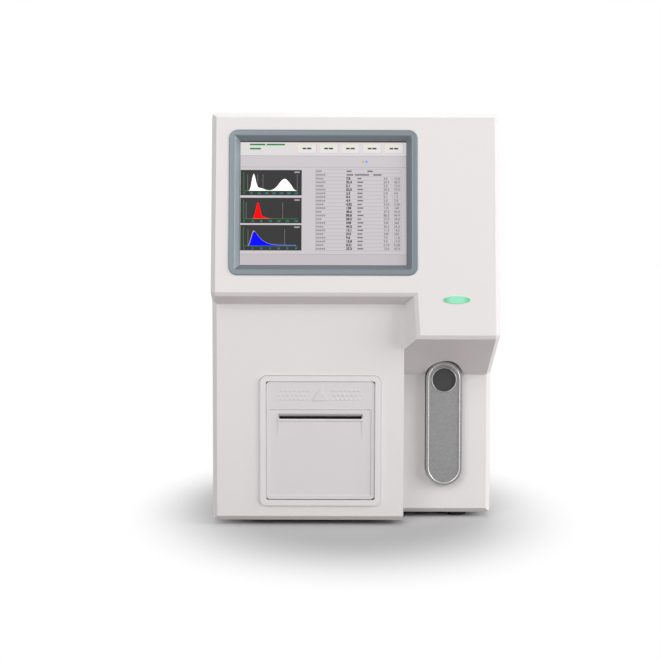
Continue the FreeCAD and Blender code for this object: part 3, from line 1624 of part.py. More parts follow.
def make_electronics():
    """Main board on posts behind the deck, and the power supply on the floor pan."""
    behind = DECK + S.sheet_wall
    x = S.board_x
    z = TOP - S.main_fall
    board_y = behind + S.post_long
    board = box(
        (x - S.main_wide / 2, x + S.main_wide / 2),
        (board_y, board_y + S.board_thick),
        (z - S.main_tall / 2, z + S.main_tall / 2),
    )
    posts = [
        rod(
            "y",
            S.screw_head,
            (x + side * (S.main_wide / 2 - S.screw_inset), behind, z + up * (
                S.main_tall / 2 - S.screw_inset
            )),
            S.post_long,
        )
        for side in (-1, 1)
        for up in (-1, 1)
    ]
    chips = [
        middle_box(
            (x + across * S.main_wide, board_y + S.board_thick + S.chip_high / 2, z + up * S.main_tall),
            (S.chip_wide, S.chip_high, S.chip_wide),
        )
        for across, up in MAIN_CHIP_SHARES
    ]
    node("main_board", fuse(board, *posts, *chips))
    low = FLOOR + S.sheet_wall
    y0 = behind + 2 * S.lip_height
    case = box(
        (S.supply_x - S.supply_wide / 2, S.supply_x + S.supply_wide / 2),
        (y0, y0 + S.supply_deep),
        (low, low + S.supply_tall),
    )
    vents = [
        box(
            (S.supply_x - S.supply_wide / 2 + S.screw_inset, S.supply_x + S.supply_wide / 2 - S.screw_inset),
            (y, y + S.vent_wide),
            (low + S.supply_tall - S.sheet_wall, low + S.supply_tall + S.cut_over),
        )
        for y in (y0 + S.screw_inset + i * S.vent_pitch for i in range(SUPPLY_VENT_COUNT))
    ]
    node("power_supply", cut(case, *vents))


def make_fan():
    """Rear fan: square frame with a round duct and struts, bladed rotor and wire guard."""
    x = S.fan_x
    z = FAN_Z
    front = BACK - S.sheet_wall - S.fan_deep
    half = S.fan_size / 2
    shell = rounded(
        box((x - half, x + half), (front, front + S.fan_deep), (z - half, z + half)), "y", S.screw_head
    )
    duct = rod("y", S.fan_bore, (x, front - S.cut_over, z), S.fan_deep + 2 * S.cut_over)
    hub = rod("y", S.fan_hub, (x, front, z), S.strut_deep)
    struts = [
        middle_box(
            (x, front + S.strut_deep / 2, z), (2 * S.fan_bore + S.cut_over, S.strut_deep, S.strut_deep)
        ),
        middle_box(
            (x, front + S.strut_deep / 2, z), (S.strut_deep, S.strut_deep, 2 * S.fan_bore + S.cut_over)
        ),
    ]
    holes = []
    spread = S.fan_pitch / 2
    for side in (-1, 1):
        for up in (-1, 1):
            start = (x + side * spread, front - S.cut_over, z + up * spread)
            holes.append(rod("y", S.fan_screw, start, S.fan_deep + 2 * S.cut_over))
    post = rod("y", S.axle_radius, (x, front + S.strut_deep, z), S.fan_deep / 2)
    node("fan_frame", fuse(cut(shell, duct, *holes), hub, *struts, post))
    rotor = doc.addObject("PartDesign::Body", "fan_wheel")
    long = S.fan_deep - S.strut_deep - 2 * S.part_gap
    disc = circle_sketch(rotor, "hub_circle", S.fan_hub)
    pad(rotor, disc, long)
    near = S.fan_hub - S.sheet_wall
    far = S.fan_bore - S.blade_gap
    sweep = S.blade_sweep
    wide = S.blade_thick
    corners = [(near, -sweep), (near, wide - sweep), (far, wide + sweep), (far, sweep)]
    blade = outline_sketch(rotor, "blade", corners)
    pattern(rotor, pad(rotor, blade, long), blade, BLADE_COUNT)
    through_pocket(rotor, circle_sketch(rotor, "axle_bore", S.axle_radius + S.turn_gap), long - S.cover_wall)
    rotor.Placement = FreeCAD.Placement(Vector(), TURNS["y"])
    place(rotor, x, front + S.strut_deep + S.part_gap, z)
    node("fan_rotor", group(rotor))
    rings = []
    wire = S.guard_wire
    thick = 2 * wire
    for i in range(GUARD_RING_COUNT):
        radius = S.guard_radius + i * S.guard_step
        outer = rod("y", radius + wire, (x, BACK, z), thick)
        inner = rod("y", radius - wire, (x, BACK - S.cut_over, z), thick + 2 * S.cut_over)
        rings.append(cut(outer, inner))
    reach = S.fan_pitch / 2
    long = 2 * (S.guard_radius + (GUARD_RING_COUNT - 1) * S.guard_step)
    bars = [middle_box((x, BACK + wire, z), (long, thick, thick))]
    bars.append(middle_box((x, BACK + wire, z), (thick, thick, long)))
    eyes = []
    for up in (-1, 1):
        for side in (-1, 1):
            eyes.append(rod("y", S.screw_head, (x + side * reach, BACK, z + up * reach), thick))
        eyes.append(middle_box((x, BACK + wire, z + up * reach), (2 * reach, thick, thick)))
    node("fan_guard", fuse(*rings, *bars, *eyes))


def make_inlet():
    """Mains inlet with three blades, and the rocker switch in its frame."""
    z = FLOOR + S.inlet_high
    x = S.inlet_x
    depth = S.inlet_deep
    shell = box(
        (x - S.inlet_wide / 2, x + S.inlet_wide / 2),
        (BACK - depth, BACK),
        (z - S.inlet_tall / 2, z + S.inlet_tall / 2),
    )
    flange = rounded(
        box(
            (x - S.inlet_wide / 2 - S.inlet_flange, x + S.inlet_wide / 2 + S.inlet_flange),
            (BACK, BACK + S.flange_thick),
            (z - S.inlet_tall / 2 - S.flange_thick, z + S.inlet_tall / 2 + S.flange_thick),
        ),
        "y",
        S.flange_thick,
    )
    wall = S.flange_thick
    room = middle_box(
        (x, BACK, z), (S.inlet_wide - 2 * wall, 2 * (depth - wall), S.inlet_tall - 2 * wall)
    )
    blades = [
        middle_box(
            (x + across * S.inlet_wide, BACK - depth / 2, z + up * S.inlet_tall),
            (S.blade_wide, depth - wall, S.blade_high),
        )
        for across, up in BLADE_SHARES
    ]
    node("power_inlet", fuse(cut(fuse(shell, flange), room), *blades))
    x = S.switch_x
    shell = middle_box((x, BACK - S.switch_deep / 2, z), (S.switch_wide, S.switch_deep, S.switch_tall))
    flange = middle_box(
        (x, BACK + S.flange_thick / 2, z),
        (S.switch_wide + 2 * S.flange_thick, S.flange_thick, S.switch_tall + 2 * S.flange_thick),
    )
    room = middle_box(
        (x, BACK, z), (S.switch_wide - 2 * wall, 2 * (S.switch_deep - wall), S.switch_tall - 2 * wall)
    )
    axle = middle_rod("x", S.axle_radius, (x, ROCKER_Y, z), S.switch_wide - wall)
    node("switch_frame", fuse(cut(fuse(shell, flange), room), axle))
    rocker_wide = S.switch_wide - 2 * wall - 2 * S.part_gap
    reach = S.switch_tall / 2 - wall - S.rocker_gap
    profile = [
        (S.rocker_rise, -reach),
        (S.rocker_dip, 0 * reach),
        (S.rocker_rise, reach),
        (-S.rocker_dip, reach),
        (-S.rocker_back, 0 * reach),
        (-S.rocker_dip, -reach),
    ]
    slab = prism("x", profile, -rocker_wide / 2, rocker_wide / 2)
    bore = middle_rod("x", S.axle_radius + S.turn_gap, (0, 0, 0), S.switch_wide)
    rocker = cut(slab, bore)
    rocker.Placement = FreeCAD.Placement(Vector(), FreeCAD.Rotation(Vector(1, 0, 0), -1))
    rocker.setExpression("Placement.Rotation.Angle", text_of(-S.rocker_angle))
    node("power_switch", place(rocker, x, ROCKER_Y, z))


def make_ports():
    """Serial and USB sockets, fluid spigots and the level sensor socket."""
    z = FLOOR + S.port_high
    labels = (
        ("serial_port", S.serial_x, S.serial_wide, S.serial_tall),
        ("usb_port", S.usb_x, S.usb_wide, S.usb_tall),
    )
    for label, x, wide, high in labels:
        body = middle_box(
            (x, BACK - S.port_deep / 2 + S.flange_thick / 2, z), (wide, S.port_deep + S.flange_thick, high)
        )
        rim = middle_box(
            (x, BACK + S.board_thick / 2, z),
            (wide + 2 * S.board_thick, S.board_thick, high + 2 * S.board_thick),
        )
        room = middle_box((x, BACK, z), (wide - S.flange_thick, S.port_deep, high - S.flange_thick))
        pins = middle_box(
            (x, BACK - S.port_deep / 4, z), (wide - 2 * S.flange_thick, S.port_deep / 2, high / 4)
        )
        node(label, fuse(cut(fuse(body, rim), room), pins))
    z = FLOOR + S.spigot_high
    spigots = []
    for i in range(SPIGOT_COUNT):
        x = S.spigot_x + i * S.spigot_pitch
        body = rod("y", S.spigot_body, (x, BACK - S.spigot_in, z), S.spigot_in)
        collar = rod("y", S.spigot_body + S.board_thick, (x, BACK, z), S.spigot_collar)
        nozzle = rod("y", S.spigot_radius, (x, BACK + S.spigot_collar, z), S.fitting_reach - S.spigot_collar)
        bore = rod(
            "y",
            S.spigot_bore,
            (x, BACK - S.spigot_in - S.cut_over, z),
            S.spigot_in + S.fitting_reach + 2 * S.cut_over,
        )
        spigots.append(cut(fuse(body, collar, nozzle), bore))
    node("waste_spigot", group(spigots.pop()))
    node("reagent_spigots", group(*spigots))
    x = S.socket_x
    body = rod("y", S.socket_radius, (x, BACK - S.spigot_in, z), S.spigot_in + S.socket_out)
    collar = rod("y", S.socket_radius + S.board_thick, (x, BACK, z), S.spigot_collar)
    room = rod("y", S.socket_radius - S.board_thick, (x, BACK, z), S.fitting_reach)
    pin = rod("y", S.needle_radius, (x, BACK - S.board_thick, z), S.socket_out)
    node("sensor_socket", fuse(cut(fuse(body, collar), room), pin))


def check_and_write():
    """Stops on any failed object, then writes each node to its own file."""
    doc.recompute()
    for thing in doc.Objects:
        if "Invalid" in thing.State or "Error" in thing.State:
            raise RuntimeError(f"{thing.Name} {thing.Label} {thing.State}")
    os.makedirs("parts", exist_ok=True)
    for thing in NODES:
        shape = thing.Shape
        if shape.isNull() or not shape.isValid() or not shape.Solids:
            raise RuntimeError(f"{thing.Label} has no valid solid")
        shape.exportStep(f"parts/{thing.Label}.step")
        print(f"{thing.Label:18} {len(shape.Solids):3} solids {shape.Volume / 1000:10.2f} cm3")


make_front_cover()
make_case()
make_rear_panel()
make_feet()
make_display()
make_lamp()
make_printer_frame()
make_printer_door()
make_print_unit()
make_aspirate_unit()
make_needle_drive()
make_syringe_unit()
make_baths()
make_fluidics()
make_electronics()
make_fan()
make_inlet()
make_ports()
check_and_write()
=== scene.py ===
"""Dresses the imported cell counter: finishes, display picture, lamp, screws, floor, light and camera."""

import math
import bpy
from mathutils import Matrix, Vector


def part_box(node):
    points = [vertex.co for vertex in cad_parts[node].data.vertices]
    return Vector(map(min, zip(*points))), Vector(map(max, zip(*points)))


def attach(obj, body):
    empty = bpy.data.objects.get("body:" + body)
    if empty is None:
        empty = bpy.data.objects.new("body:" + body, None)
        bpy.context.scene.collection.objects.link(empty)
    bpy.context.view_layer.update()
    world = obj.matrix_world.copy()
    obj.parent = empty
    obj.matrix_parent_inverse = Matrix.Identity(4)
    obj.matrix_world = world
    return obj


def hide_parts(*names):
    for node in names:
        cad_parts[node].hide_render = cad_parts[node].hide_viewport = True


bl_info = {
    "name": "Cell counter looks",
    "version": (1, 0, 0),
    "blender": (4, 5, 0),
    "location": "3D View > Sidebar > Counter",
    "description": "Builds the finishes and small details of a bench cell counter",
    "category": "Object",
}

import bmesh
import bpy
import numpy as np
from mathutils import Matrix, Vector

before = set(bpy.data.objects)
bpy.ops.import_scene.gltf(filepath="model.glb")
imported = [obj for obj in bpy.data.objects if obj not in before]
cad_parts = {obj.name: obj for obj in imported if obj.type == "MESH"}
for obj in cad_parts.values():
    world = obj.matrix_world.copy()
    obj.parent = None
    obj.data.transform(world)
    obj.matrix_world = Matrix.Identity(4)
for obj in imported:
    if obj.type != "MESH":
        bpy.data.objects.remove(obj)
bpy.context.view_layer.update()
ROOT = "instrument"

# The body and the leaning head. Lengths in metres, angles in radians.
BODY_LOW = 0.0055
HEAD_TILT = math.radians(6.86)
STEP_HEIGHT = 0.2361
STEP_Y = -0.1844
PANEL_LEAN = math.radians(2.2)
BODY_HEIGHT = 0.4235
SCREW_RADIUS = 0.0034

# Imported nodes: points closer than this are one, and edges sharper than this are rounded.
WELD = 0.000002
SHARP_ANGLE = math.radians(24)


class CounterColours(bpy.types.PropertyGroup):
    """Colours that a user may change"""

    moulding: bpy.props.FloatVectorProperty(
        name="Moulding",
        description="Pale plastic of the front",
        subtype="COLOR",
        default=(0.79, 0.775, 0.77),
    )
    sheet: bpy.props.FloatVectorProperty(
        name="Case paint",
        description="Paint of the steel case",
        subtype="COLOR",
        default=(0.76, 0.745, 0.735),
    )
    bezel: bpy.props.FloatVectorProperty(
        name="Bezel",
        description="Blue grey frame of the display",
        subtype="COLOR",
        default=(0.190, 0.230, 0.252),
    )
    key: bpy.props.FloatVectorProperty(
        name="Key", description="Silver paint of the press key", subtype="COLOR", default=(0.40, 0.40, 0.40)
    )
    lamp: bpy.props.FloatVectorProperty(
        name="Lamp", description="Green of the status lens", subtype="COLOR", default=(0.3, 0.82, 0.56)
    )
    screen: bpy.props.FloatVectorProperty(
        name="Screen ground",
        description="Ground tone of the picture",
        subtype="COLOR",
        default=(0.478, 0.455, 0.472),
    )


class CounterSizes(bpy.types.PropertyGroup):
    """Sizes of the picture and the edges, and the camera's place"""

    screen_wide: bpy.props.FloatProperty(
        name="Picture width", description="Visible width of the display", unit="LENGTH", default=0.1709
    )
    screen_high: bpy.props.FloatProperty(
        name="Picture height", description="Visible height of the display", unit="LENGTH", default=0.1282
    )
    screen_x: bpy.props.FloatProperty(
        name="Picture place", description="Middle of the display across", unit="LENGTH", default=-0.0330
    )
    screen_rise: bpy.props.FloatProperty(
        name="Picture rise",
        description="Middle of the display above the step edge",
        unit="LENGTH",
        default=0.0955,
    )
    screen_depth: bpy.props.FloatProperty(
        name="Picture depth",
        description="Depth of the picture behind the face",
        unit="LENGTH",
        default=0.00496,
    )
    soft_edge: bpy.props.FloatProperty(
        name="Edge round", description="Rounding of moulded edges", unit="LENGTH", default=0.0007
    )
    lens_reach: bpy.props.FloatProperty(
        name="Camera distance", description="Camera ahead of the step edge", unit="LENGTH", default=1.399
    )
    lens_x: bpy.props.FloatProperty(
        name="Camera side", description="Camera place across", unit="LENGTH", default=-0.0274
    )
    lens_height: bpy.props.FloatProperty(
        name="Camera height", description="Camera above the body's underside", unit="LENGTH", default=0.2591
    )
    lens_pitch: bpy.props.FloatProperty(
        name="Camera pitch",
        description="How far the camera looks down",
        unit="ROTATION",
        default=math.radians(2.39),
    )
    lens_yaw: bpy.props.FloatProperty(
        name="Camera turn",
        description="Turn of the camera about the upright",
        unit="ROTATION",
        default=math.radians(-0.065),
    )
    lens_roll: bpy.props.FloatProperty(
        name="Camera roll",
        description="Lean of the camera sideways",
        unit="ROTATION",
        default=math.radians(0.14),
    )
    lens_focal: bpy.props.FloatProperty(
        name="Focal length", description="Lens for a 36 mm sensor, in millimetres", default=74.95
    )


def head_point(across, depth, rise):
    """A place on the leaning head: turned back about the step edge by the head's tilt."""
    c, s = math.cos(HEAD_TILT), math.sin(HEAD_TILT)
    y = STEP_Y + depth * c + rise * s
    z = BODY_LOW + STEP_HEIGHT - depth * s + rise * c
    return np.stack(np.broadcast_arrays(across, y, z), axis=-1)


def mesh_object(name, points, faces, material, body=ROOT):
    """A new piece from points and faces, riding on a body."""
    mesh = bpy.data.meshes.new(name)
    mesh.from_pydata(points.reshape(-1, 3).tolist(), [], faces)
    mesh.update()
    piece = bpy.data.objects.new(name, mesh)
    bpy.context.scene.collection.objects.link(piece)
    mesh.materials.append(material)
    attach(piece, body)
    return piece


def ring_faces(rows, columns):
    """Faces of a grid of points, row after row, whose columns close into a ring."""
    row, column = np.meshgrid(np.arange(rows - 1), np.arange(columns), indexing="ij")
    here, after = row * columns + column, row * columns + (column + 1) % columns
    return np.stack([here, after, after + columns, here + columns], -1).reshape(-1, 4).tolist()


def tube(path, radius, square, sides=10):
    """A round bar along a flat closed path: each point plus the radius times a circle across its run.

    The run at a point is the line between its two neighbours; the circle spans the run's normal in the
    path's plane and the direction square to that plane.
    """
    run = np.roll(path, -1, axis=0) - np.roll(path, 1, axis=0)
    run /= np.linalg.norm(run, axis=1, keepdims=True)
    out = np.cross(run, square)
    angle = np.linspace(0, 2 * np.pi, sides, endpoint=False)[None, :, None]
    circle = out[:, None, :] * np.cos(angle) - np.asarray(square) * np.sin(angle)
    points = path[:, None, :] + radius * circle
    closed = np.concatenate([points, points[:1]])
    return closed.reshape(-1, 3), ring_faces(len(path) + 1, sides)


def round_path(middle, half_wide, half_high, corner, y, steps=14):
    """A flat closed path of four quarter arcs joined by straight runs, facing the front at one depth."""
    turn = np.linspace(0, 2 * np.pi, 4 * steps, endpoint=False) + np.pi / (4 * steps)
    x = middle[0] + np.sign(np.cos(turn)) * (half_wide - corner) + corner * np.cos(turn)
    z = middle[1] + np.sign(np.sin(turn)) * (half_high - corner) + corner * np.sin(turn)
    return np.stack([x, np.full(len(turn), y), z], axis=1)


# A screw head's cross recess, in shares of the radius: half the width of an arm and how far it reaches, and
# how far the soft sides of both run. Then its depth and the rim's height, in shares of the head's height.
CROSS_HALF, CROSS_REACH, CROSS_SIDE, CROSS_END = 0.17, 0.62, 0.07, 0.1
CROSS_SINK, HEAD_RIM = 0.42, 0.3


def screw_head(middle, radius, high, rings=16, sides=48):
    """A domed head with a cross recess, facing the back.

    The height is a low cylinder plus the root of one minus the squared share of the radius; the recess takes
    depth away where the smaller of the two distances from the axis is short and the larger is not too long.
    """
    around = np.linspace(0, 2 * np.pi, sides, endpoint=False)
    share, angle = np.meshgrid(np.linspace(1, 0, rings), around, indexing="ij")
    across, up = share * np.cos(angle), -share * np.sin(angle)
    near, far = np.minimum(np.abs(across), np.abs(up)), np.maximum(np.abs(across), np.abs(up))
    cross = np.clip((CROSS_HALF - near) / CROSS_SIDE, 0, 1) * np.clip((CROSS_REACH - far) / CROSS_END, 0, 1)
    top = high * (HEAD_RIM + (1 - HEAD_RIM) * np.sqrt(1 - share**2) - CROSS_SINK * cross)
    dome = np.stack([middle[0] + radius * across, middle[1] + top, middle[2] + radius * up], axis=-1)
    foot = dome[:1].copy()
    foot[..., 1] = middle[1]
    return np.concatenate([foot, dome]).reshape(-1, 3), ring_faces(rings + 1, sides)


def joined(parts):
    """Several point and face sets as one."""
    faces, start = [], 0
    for points, quads in parts:
        faces += [[start + corner for corner in quad] for quad in quads]
        start += len(points)
    return np.concatenate([points for points, _ in parts]), faces


def smooth_object(name, points, faces, material, body=ROOT):
    """A new curved piece with even shading."""
    piece = mesh_object(name, points, faces, material, body)
    piece.data.shade_smooth()
    return piece


def group_sockets(tree, inputs, outputs):
    """Gives a shader group its named inputs, with their usual values, and its outputs."""
    for name, kind, value in inputs:
        socket = tree.interface.new_socket(name=name, in_out="INPUT", socket_type=kind)
        socket.default_value = value
    for name, kind in outputs:
        tree.interface.new_socket(name=name, in_out="OUTPUT", socket_type=kind)


def build_grain_group():
    """Fine moulded or painted grain: two noises of different size feed one bump."""
    tree = bpy.data.node_groups.new("surface_grain", "ShaderNodeTree")
    group_sockets(
        tree,
        [("Scale", "NodeSocketFloat", 900.0), ("Height", "NodeSocketFloat", 0.1)],
        [("Normal", "NodeSocketVector")],
    )
    nodes, links = tree.nodes, tree.links
    source, sink = nodes.new("NodeGroupInput"), nodes.new("NodeGroupOutput")
    place = nodes.new("ShaderNodeTexCoord")
    fine = nodes.new("ShaderNodeTexNoise")
    fine.inputs["Detail"].default_value = 3.0
    broad = nodes.new("ShaderNodeTexNoise")
    broad.inputs["Detail"].default_value = 2.0
    share = nodes.new("ShaderNodeMath")
    share.operation = "MULTIPLY"
    share.inputs[1].default_value = 0.22
    total = nodes.new("ShaderNodeMath")
    total.operation = "ADD"
    bump = nodes.new("ShaderNodeBump")
    bump.inputs["Distance"].default_value = 0.0002
    links.new(place.outputs["Object"], fine.inputs["Vector"])
    links.new(place.outputs["Object"], broad.inputs["Vector"])
    links.new(source.outputs["Scale"], fine.inputs["Scale"])
    links.new(source.outputs["Scale"], share.inputs[0])
    links.new(share.outputs[0], broad.inputs["Scale"])
    links.new(fine.outputs[0], total.inputs[0])
    links.new(broad.outputs[0], total.inputs[1])
    links.new(total.outputs[0], bump.inputs["Height"])
    links.new(source.outputs["Height"], bump.inputs["Strength"])
    links.new(bump.outputs["Normal"], sink.inputs["Normal"])


def build_tone_group():
    """Slow and fine changes of tone between two colours, with a roughness that follows the slow one."""
    tree = bpy.data.node_groups.new("surface_tone", "ShaderNodeTree")
    colour = (0.8, 0.8, 0.8, 1.0)
    group_sockets(
        tree,
        [
            ("Colour", "NodeSocketColor", colour),
            ("Shade", "NodeSocketColor", colour),
            ("Scale", "NodeSocketFloat", 30.0),
            ("Speckle", "NodeSocketFloat", 0.2),
            ("Rough Low", "NodeSocketFloat", 0.35),
            ("Rough High", "NodeSocketFloat", 0.5),
        ],
        [("Colour", "NodeSocketColor"), ("Roughness", "NodeSocketFloat")],
    )
    nodes, links = tree.nodes, tree.links
    source, sink = nodes.new("NodeGroupInput"), nodes.new("NodeGroupOutput")
    place = nodes.new("ShaderNodeTexCoord")
    slow = nodes.new("ShaderNodeTexNoise")
    slow.inputs["Detail"].default_value = 4.0
    fine = nodes.new("ShaderNodeTexNoise")
    fine.inputs["Scale"].default_value = 1400.0
    fine.inputs["Detail"].default_value = 2.0
    scaled = nodes.new("ShaderNodeMath")
    scaled.operation = "MULTIPLY"
    both = nodes.new("ShaderNodeMath")
    both.operation = "MULTIPLY_ADD"
    both.use_clamp = True
    both.inputs[1].default_value = 0.55
    mix = nodes.new("ShaderNodeMix")
    mix.data_type = "RGBA"
    spread = nodes.new("ShaderNodeMapRange")
    links.new(place.outputs["Object"], slow.inputs["Vector"])
    links.new(place.outputs["Object"], fine.inputs["Vector"])
    links.new(source.outputs["Scale"], slow.inputs["Scale"])
    links.new(fine.outputs[0], scaled.inputs[0])
    links.new(source.outputs["Speckle"], scaled.inputs[1])
    links.new(slow.outputs[0], both.inputs[0])
    links.new(scaled.outputs[0], both.inputs[2])
    links.new(both.outputs[0], mix.inputs["Factor"])
    links.new(source.outputs["Colour"], mix.inputs["A"])
    links.new(source.outputs["Shade"], mix.inputs["B"])
    links.new(slow.outputs[0], spread.inputs["Value"])
    links.new(source.outputs["Rough Low"], spread.inputs["To Min"])
    links.new(source.outputs["Rough High"], spread.inputs["To Max"])
    links.new(mix.outputs["Result"], sink.inputs["Colour"])
    links.new(spread.outputs["Result"], sink.inputs["Roughness"])


def finish(
    name, colour, shade=0.93, rough=(0.38, 0.5), grain=(900.0, 0.08), speckle=0.2, scale=30.0, metal=0.0
):
    """A material whose tone, roughness and fine relief all change over the surface.

    The tone runs from the colour to a share of it, the roughness between two ends, and the grain is the
    relief's scale and strength.
    """
    material = bpy.data.materials.new(name)
    material.use_nodes = True
    nodes, links = material.node_tree.nodes, material.node_tree.links
    shader = nodes["Principled BSDF"]
    tone = nodes.new("ShaderNodeGroup")
    tone.node_tree = bpy.data.node_groups["surface_tone"]
    tone.inputs["Colour"].default_value = (*colour, 1.0)
    tone.inputs["Shade"].default_value = (*(c * shade for c in colour), 1.0)
    tone.inputs["Scale"].default_value = scale
    tone.inputs["Speckle"].default_value = speckle
    tone.inputs["Rough Low"].default_value = rough[0]
    tone.inputs["Rough High"].default_value = rough[1]
    relief = nodes.new("ShaderNodeGroup")
    relief.node_tree = bpy.data.node_groups["surface_grain"]
    relief.inputs["Scale"].default_value = grain[0]
    relief.inputs["Height"].default_value = grain[1]
    links.new(tone.outputs["Colour"], shader.inputs["Base Color"])
    links.new(tone.outputs["Roughness"], shader.inputs["Roughness"])
    links.new(relief.outputs["Normal"], shader.inputs["Normal"])
    shader.inputs["Metallic"].default_value = metal
    return material


def picture(name, colour, glow=0.35):
    """A lit colour of the display's picture, with faint unevenness of the backlight."""
    material = finish(name, colour, 0.95, (0.25, 0.3), (400.0, 0.0), speckle=0.0, scale=14.0)
    nodes, links = material.node_tree.nodes, material.node_tree.links
    shader = nodes["Principled BSDF"]
    tone = [node for node in nodes if node.type == "GROUP" and "Colour" in node.outputs][0]
    links.new(tone.outputs["Colour"], shader.inputs["Emission Color"])
    shader.inputs["Emission Strength"].default_value = glow
    shader.inputs["Specular IOR Level"].default_value = 0.06
    return material


def paint(node, material):
    """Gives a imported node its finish."""
    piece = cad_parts[node]
    piece.data.materials.clear()
    piece.data.materials.append(material)


def soften(node, material, width, body=ROOT):
    """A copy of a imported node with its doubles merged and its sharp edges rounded."""
    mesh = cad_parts[node].data.copy()
    mesh.name = node + "_soft"
    work = bmesh.new()
    work.from_mesh(mesh)
    bmesh.ops.remove_doubles(work, verts=work.verts, dist=WELD)
    work.to_mesh(mesh)
    work.free()
    piece = bpy.data.objects.new(node + "_soft", mesh)
    bpy.context.scene.collection.objects.link(piece)
    mesh.materials.clear()
    mesh.materials.append(material)
    mesh.shade_smooth()
    bevel = piece.modifiers.new("edges", "BEVEL")
    bevel.width = width
    bevel.segments = 3
    bevel.limit_method = "ANGLE"
    bevel.angle_limit = SHARP_ANGLE
    even = piece.modifiers.new("even", "WEIGHTED_NORMAL")
    even.keep_sharp = True
    even.weight = 100
    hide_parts(node)
    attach(piece, body)


# The picture: places are shares of its width from the left and of its height from the top.
# The layers stand a little way in front of one another. Rules: left, right, place and thickness; the first
# one, along the top edge, is painted shadow of the bezel's top rim.
LAYER = 0.000012
BUTTON_LEFTS = (0.342, 0.473, 0.604, 0.735, 0.866)
BUTTON_TOP, BUTTON_FOOT, BUTTON_WIDE = 0.014, 0.098, 0.117
BAR_FOOT, STRIP_TOP = 0.114, 0.911
RULES_AND_TOP_SHADE = (
    # Along the top edge: painted shadow of the bezel's top rim, not a printed rule.
    (0.0, 1.0, 0.0, 0.005),
    (0.0, 1.0, BAR_FOOT, 0.003),
    (0.0, 1.0, 0.206, 0.003),
    (0.0, 0.97, STRIP_TOP, 0.003),
)
CHART_TOPS, CHART_HIGH, CHART_LEFT, CHART_WIDE = (0.2316, 0.4567, 0.6764), 0.206, 0.002, 0.368
# The level line of a chart lies this far above the chart's foot.
CHART_BASE = 0.038
TABLE_TOP, TABLE_PITCH, TABLE_ROWS, TABLE_LEFT, TABLE_RIGHT = 0.2245, 0.0299, 22, 0.452, 0.966
VALUES = "7.8 32.4 5.1 62.5 2.5 0.4 4.9 4.52 138 40.6 89.8 30.5 340 44.2 13.1 215 9.6 15.8 0.21 27.3".split()
LOWS = "4.0 20.0 3.0 50.0 0.8 0.1 2.0 3.50 110 37.0 80.0 27.0 320 35.0 11.5 100 7.0 9.0 0.10 13.0".split()
HIGHS = "10.0 40.0 15.0 70.0 4.0 1.5 7.0 5.50 160 54.0 99.9 34.0 360 56.0 14.5 300 11.0 17.0 0.28 43.0".split()


def picture_point(u, v, layer):
    """A place on the picture: shares across and down, and a layer in front of the glass."""
    s = bpy.context.scene.counter_sizes
    across = s.screen_x + (u - 0.5) * s.screen_wide
    rise = s.screen_rise + (0.5 - v) * s.screen_high
    return head_point(across, s.screen_depth - layer * LAYER, rise)


class Sheet:
    """Gathers flat patches of the picture, each with its own finish, into one mesh."""

    def __init__(self):
        """Starts with no points, faces, marks or finishes."""
        self.points, self.faces, self.marks, self.materials = [], [], [], []

    def mark(self, material):
        """The place of a finish in the mesh's list, added when it is new."""
        if material not in self.materials:
            self.materials.append(material)
        return self.materials.index(material)

    def patch(self, left, top, right, foot, layer, material):
        """A plain rectangle."""
        u = np.array([left, right, right, left])
        v = np.array([foot, foot, top, top])
        self.add(picture_point(u, v, layer), [[0, 1, 2, 3]], material)

    def add(self, points, faces, material):
        """More points and faces, numbered on from those already there."""
        start = sum(len(p) for p in self.points)
        self.points.append(points)
        self.faces += [[start + corner for corner in face] for face in faces]
        self.marks += [self.mark(material)] * len(faces)

    def curve(self, left, right, foot, heights, layer, material):
        """Fills from a base line up to a row of heights: two rows of points joined by quads."""
        u = np.linspace(left, right, len(heights))
        v = np.stack([np.full_like(u, foot), foot - heights])
        points = picture_point(np.stack([u, u]), v, layer).reshape(-1, 3)
        count = len(u)
        faces = [[i, i + 1, count + i + 1, count + i] for i in range(count - 1)]
        self.add(points, faces, material)

    def digits(self, text, u, v, size, line, layer, material, align="LEFT", weight=0.0):
        """Plain numbers of the built in font, laid on the picture."""
        sizes = bpy.context.scene.counter_sizes
        wide, high = sizes.screen_wide, sizes.screen_high
        curve = bpy.data.curves.new("numbers", "FONT")
        curve.body, curve.size, curve.align_x = text, size * high, align
        curve.space_line = line / size
        curve.resolution_u = 2
        curve.offset = weight * size * high
        holder = bpy.data.objects.new("numbers", curve)
        bpy.context.scene.collection.objects.link(holder)
        bpy.context.view_layer.update()
        mesh = bpy.data.meshes.new_from_object(holder.evaluated_get(bpy.context.evaluated_depsgraph_get()))
        flat = np.empty(len(mesh.vertices) * 3)
        mesh.vertices.foreach_get("co", flat)
        flat = flat.reshape(-1, 3)
        faces = [list(face.vertices) for face in mesh.polygons]
        self.add(picture_point(u + flat[:, 0] / wide, v - flat[:, 1] / high, layer), faces, material)
        bpy.data.objects.remove(holder)
        bpy.data.curves.remove(curve)
        bpy.data.meshes.remove(mesh)

    def build(self, name):
        """Makes the gathered patches one piece."""
        points = np.concatenate(self.points)
        piece = mesh_object(name, points, self.faces, self.materials[0])
        for material in self.materials[1:]:
            piece.data.materials.append(material)
        piece.data.polygons.foreach_set("material_index", self.marks)
        piece.data.update()


def bell(u, middle, spread, height):
    """A smooth hump: the exponential of minus the squared distance from its middle."""
    return height * np.exp(-(((u - middle) / spread) ** 2))


